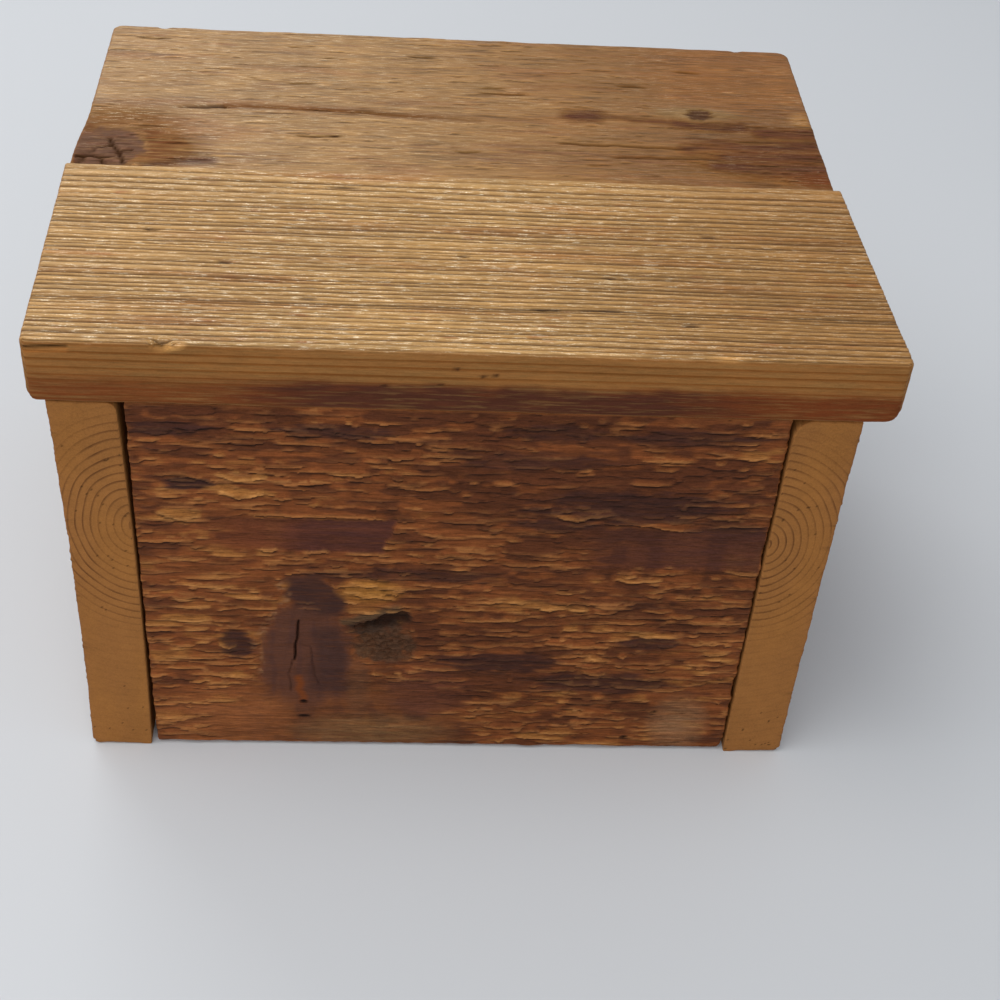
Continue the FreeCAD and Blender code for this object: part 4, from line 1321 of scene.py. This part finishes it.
def back_board():
    noise = Noise(83)
    low, high = node_box("back_board")
    ease = 1.4
    lines = board_lines(low, high, (1.1, 1.8, 0.62), ease)
    skin = Skin("back_board", lines, ("-y",), dented_edge(noise, ease, 9.0, 0.5))
    x, y, z = skin.flat.T
    face, inside = skin.part("+y"), skin.part("-y")

    def near_leaf(name):
        leaf_low, leaf_high = node_box(name)
        middle = (leaf_low + leaf_high) / 2
        half = (leaf_high - leaf_low) / 2
        away = np.maximum(np.abs(x - middle[0]) - half[0], np.abs(z - middle[2]) - half[2])
        return ramp(-away, -4.0, -0.5)

    hinge = most(near_leaf(side + "_hinge_back_leaf") for side in SIDES)

    def cover(u, v):
        return np.clip(0.7 + 0.5 * noise(u / 40, v / 16, 9.1), 0.1, 1)

    torn_face = Fibres(
        (low[0], high[0]), (low[2], high[2]), 500, cover,
        spacing=2.4, run=(8, 34), lift=(0.1, 0.7), slope=0.2, gap=0.2,
    )
    height, drop, rise, tint = torn_face.at(x, z)
    torn_lift = height - 0.65 + 0.2 * noise(x / 60, z / 20) + 0.05 * noise(x / 3, z / 0.9)
    skin.lift += face * (torn_lift * (1 - hinge) - 0.03 * hinge)
    skin.lift -= 0.1 * skin.part("-x", "+x") + 0.06 * skin.part("+z", "-z") + 0.05 * inside
    wobble = 2.0 * noise(x / 80, z / 30) + 0.7 * noise(x / 25, z / 8)
    pith_y, pith_z, squash, period = high[1] - 50, 95, 0.9, 2.2
    ring = (np.hypot(y - pith_y, (z - pith_z) * squash) + wobble) / period
    blot = np.clip(0.2 + 0.8 * layered(noise, x / 60, z / 14, 4.0), 0, 1)
    pale = ramp(tint + 0.5 * layered(noise, x / 18, z / 2.4, 2.0), 0.15, 0.8)
    lit = ramp(-rise, -0.8, -0.1) * ramp(height, 0.15, 0.4)
    skin.paint.on(
        face,
        ((112, 68, 42), np.clip(0.15 + 0.6 * blot, 0, 0.85)),
        ((184, 132, 78), 0.34 * pale),
        # Painted highlight on the lit lips
        ((196, 146, 90), 0.5 * lit),
    )
    skin.fill(
        ring=ring,
        late=0.5,
        shade=face * (0.1 * tint + 0.14 * noise(x / 14, z / 0.9, 4.0)),
        # Painted shade under the lips
        pit=np.clip(face * ramp(drop, 0.05, 0.3) * 0.8 * (1 - hinge), 0, 1),
    )
    material = wood("back_wood", "x", (166, 114, 64), (124, 78, 42), (46, 28, 18), roughness=0.6, relief=0.14)
    put(skin, "back_timber", "carcass", material)


def plain_board(node, name, body, axis, seed, steps, material, pith, period):
    """A sawn or planed board: rings, saw marks and lightly worn arrises."""
    noise = Noise(seed)
    low, high = node_box(node)
    ease = 1.1
    skin = Skin(node, board_lines(low, high, steps, ease), (), dented_edge(noise, ease, 9.0, 0.4))
    u = skin.flat[:, "xyz".index(axis)]
    v, w = (skin.flat[:, a] for a in range(3) if "xyz"[a] != axis)
    wobble = 1.8 * noise(u / 80, v / 30, w / 30) + 0.5 * noise(u / 25, v / 9, w / 9)
    ring = (np.hypot(v - pith[0], w - pith[1]) + wobble) / period
    late_place = 0.9
    from_late = np.abs(ring - np.floor(ring) - late_place)
    saw = 0.04 * noise(u / 1.6, v / 20, w / 20)
    skin.lift -= 0.06 + 0.05 * np.clip(1 - from_late / 0.12, 0, 1) + saw
    blot = layered(noise, u / 50, v / 14, w / 14)
    skin.paint.over((120, 78, 46), np.clip(0.08 + 0.3 * blot, 0, 0.5))
    skin.fill(
        ring=ring,
        late=np.clip(0.55 + 0.25 * noise(u / 50, np.floor(ring) * 0.8), 0, 1),
        shade=0.06 * noise(u / 40, v / 20, w / 20),
        # Painted shade in the dips along the latewood
        pit=0.15 * np.clip(1 - from_late / 0.1, 0, 1),
        rough=0.7,
    )
    put(skin, name, body, material)


CLEAT_RING = 1.6


def plain_boards():
    floor_wood = wood(
        "floor_wood", "x", (178, 128, 76), (136, 90, 50), (54, 34, 20), roughness=0.62, relief=0.1
    )
    cleat_wood = wood(
        "cleat_wood", "y", (186, 138, 84), (144, 98, 54), (58, 36, 22), roughness=0.58, relief=0.08
    )
    floor_steps, cleat_steps = (1.6, 0.9, 1.2), (0.7, 1.2, 0.7)
    for place, seed, pith, period in (("front", 91, (-30, -40), 2.3), ("rear", 93, (70, -50), 2.1)):
        node, name = "floor_" + place + "_board", "floor_" + place + "_timber"
        plain_board(node, name, "carcass", "x", seed, floor_steps, floor_wood, pith, period)
    for side, seed in (("left", 95), ("right", 97)):
        node, name = side + "_lid_cleat", side + "_cleat_timber"
        low, high = node_box(node)
        pith = ((low[0] + high[0]) / 2 + 25, low[2] - 20)
        plain_board(node, name, "lid", "y", seed, cleat_steps, cleat_wood, pith, CLEAT_RING)


# Hinges, screws and nails

METALS = {
    "hinge_brass": ("aged_brass", (164, 130, 76), (132, 102, 58), 0.36, (0.4, 0.75)),
    "hinge_screw_brass": ("aged_brass_screw", (176, 144, 86), (126, 98, 58), 0.34, (0.45, 0.8)),
    "screw_steel": ("zinc_screw", (176, 172, 160), (120, 112, 98), 0.38, (0.45, 0.75)),
    "nail_steel": ("rusted_nail", (96, 86, 78), (84, 50, 32), 0.55, (0.3, 0.6), 0.7),
}


def hardware():
    made = {slot: metal(*look) for slot, look in METALS.items()}
    for part in frame["record"]["subparts"]:
        material = made.get(part["material_slot"])
        if material:
            mesh = frame["nodes"][part["node"]].data
            mesh.materials.clear()
            mesh.materials.append(material)


# Floor, light and camera, in metres

BACKGROUND = (203, 206, 210)
FLOOR_COLOUR = (211, 214, 219)
FLOOR_HALF = 12.0
FLOOR_FADE = (0.9, 2.4)
SKY = (0.92, 0.96, 1.0, 1.0)
SKY_STRENGTH = 0.45

# Area lamps, as places, targets, sizes, powers and tints
LAMPS = {
    "overhead": ((-0.55, -0.3, 1.4), (0, 0, 0.1), (1.1, 1.1), 10.4, (1.0, 0.98, 0.94)),
    "window": ((-0.55, 1.05, 1.05), (0, 0, 0.15), (0.9, 0.6), 5.3, (1.0, 0.98, 0.95)),
    "front": ((-0.1, -1.6, 1.2), (0, 0, 0.1), (1.4, 1.0), 7.8, (1.0, 0.98, 0.95)),
}
CAMERA_PLACE = (-0.02442, -0.52312, 0.49229)
CAMERA_TURN, CAMERA_TILT, CAMERA_ROLL = 0.09256, 0.72008, 0.08413
CAMERA_LENS = 61.668
CAMERA_SENSOR = 36.0


def aim(made, place, forward, roll=0.0):
    """Puts a lamp or camera at a place, looking forward."""
    right = np.cross(forward, (0, 0, 1))
    right = right / np.linalg.norm(right)
    up = np.cross(right, forward)
    rolled_right = math.cos(roll) * right + math.sin(roll) * up
    rolled_up = -math.sin(roll) * right + math.cos(roll) * up
    made.matrix_world = Matrix([*zip(rolled_right, rolled_up, -forward, place), (0, 0, 0, 1)])


def seen(tree):
    """1 for what the camera sees, itself or in metal, and 0 for light on the object."""
    path = tree.add("ShaderNodeLightPath").outputs
    glint_amount = tree.math("MAXIMUM", path["Is Glossy Ray"], path["Is Transmission Ray"])
    return tree.math("MAXIMUM", path["Is Camera Ray"], glint_amount)


def stage():
    mesh = bpy.data.meshes.new("studio_floor")
    corners = [(x * FLOOR_HALF, y * FLOOR_HALF, 0) for x, y in ((-1, -1), (1, -1), (1, 1), (-1, 1))]
    mesh.from_pydata(corners, [], [(0, 1, 2, 3)])
    floor = linked("studio_floor", mesh)
    tree = Tree("studio_floor")
    near = tree.add("ShaderNodeBsdfPrincipled", {"Base Color": colour(*FLOOR_COLOUR), "Roughness": 0.9})
    far = tree.add("ShaderNodeEmission", {"Color": colour(*BACKGROUND), "Strength": 1.0})
    place = tree.add("ShaderNodeTexCoord").outputs["Object"]
    away = tree.add("ShaderNodeVectorMath", {0: place}, operation="LENGTH").outputs["Value"]
    fade = tree.math("MULTIPLY", tree.spread(away, *FLOOR_FADE), seen(tree))
    mesh.materials.append(tree.finish(tree.mixed(fade, near, far)))

    world = bpy.data.worlds.new("studio")
    bpy.context.scene.world = world
    tree = Tree("studio", world)
    light = tree.add("ShaderNodeBackground", {"Color": SKY, "Strength": SKY_STRENGTH})
    pale = tree.add("ShaderNodeBackground", {"Color": colour(*BACKGROUND), "Strength": 1.0})
    both = tree.mixed(seen(tree), light, pale)
    tree.add("ShaderNodeOutputWorld", {"Surface": both.outputs[0]})

    for name, (place, target, size, power, tint) in LAMPS.items():
        light = bpy.data.lights.new(name, "AREA")
        light.shape = "RECTANGLE"
        light.size, light.size_y = size
        light.energy = power
        light.color = tint
        forward = np.array(target) - np.array(place)
        aim(linked(name, light), place, forward / np.linalg.norm(forward))


def camera():
    data = bpy.data.cameras.new("camera")
    data.sensor_width = CAMERA_SENSOR
    data.lens = CAMERA_LENS
    data.clip_start = 0.01
    made = linked("camera", data)
    level = math.cos(CAMERA_TILT)
    forward = (math.sin(CAMERA_TURN) * level, math.cos(CAMERA_TURN) * level, -math.sin(CAMERA_TILT))
    aim(made, CAMERA_PLACE, np.array(forward), CAMERA_ROLL)
    bpy.context.scene.camera = made


lid_front()
lid_rear()
side_board("left")
side_board("right")
front_board()
back_board()
plain_boards()
hardware()
stage()
camera()
bpy.context.scene.view_settings.view_transform = "Standard"
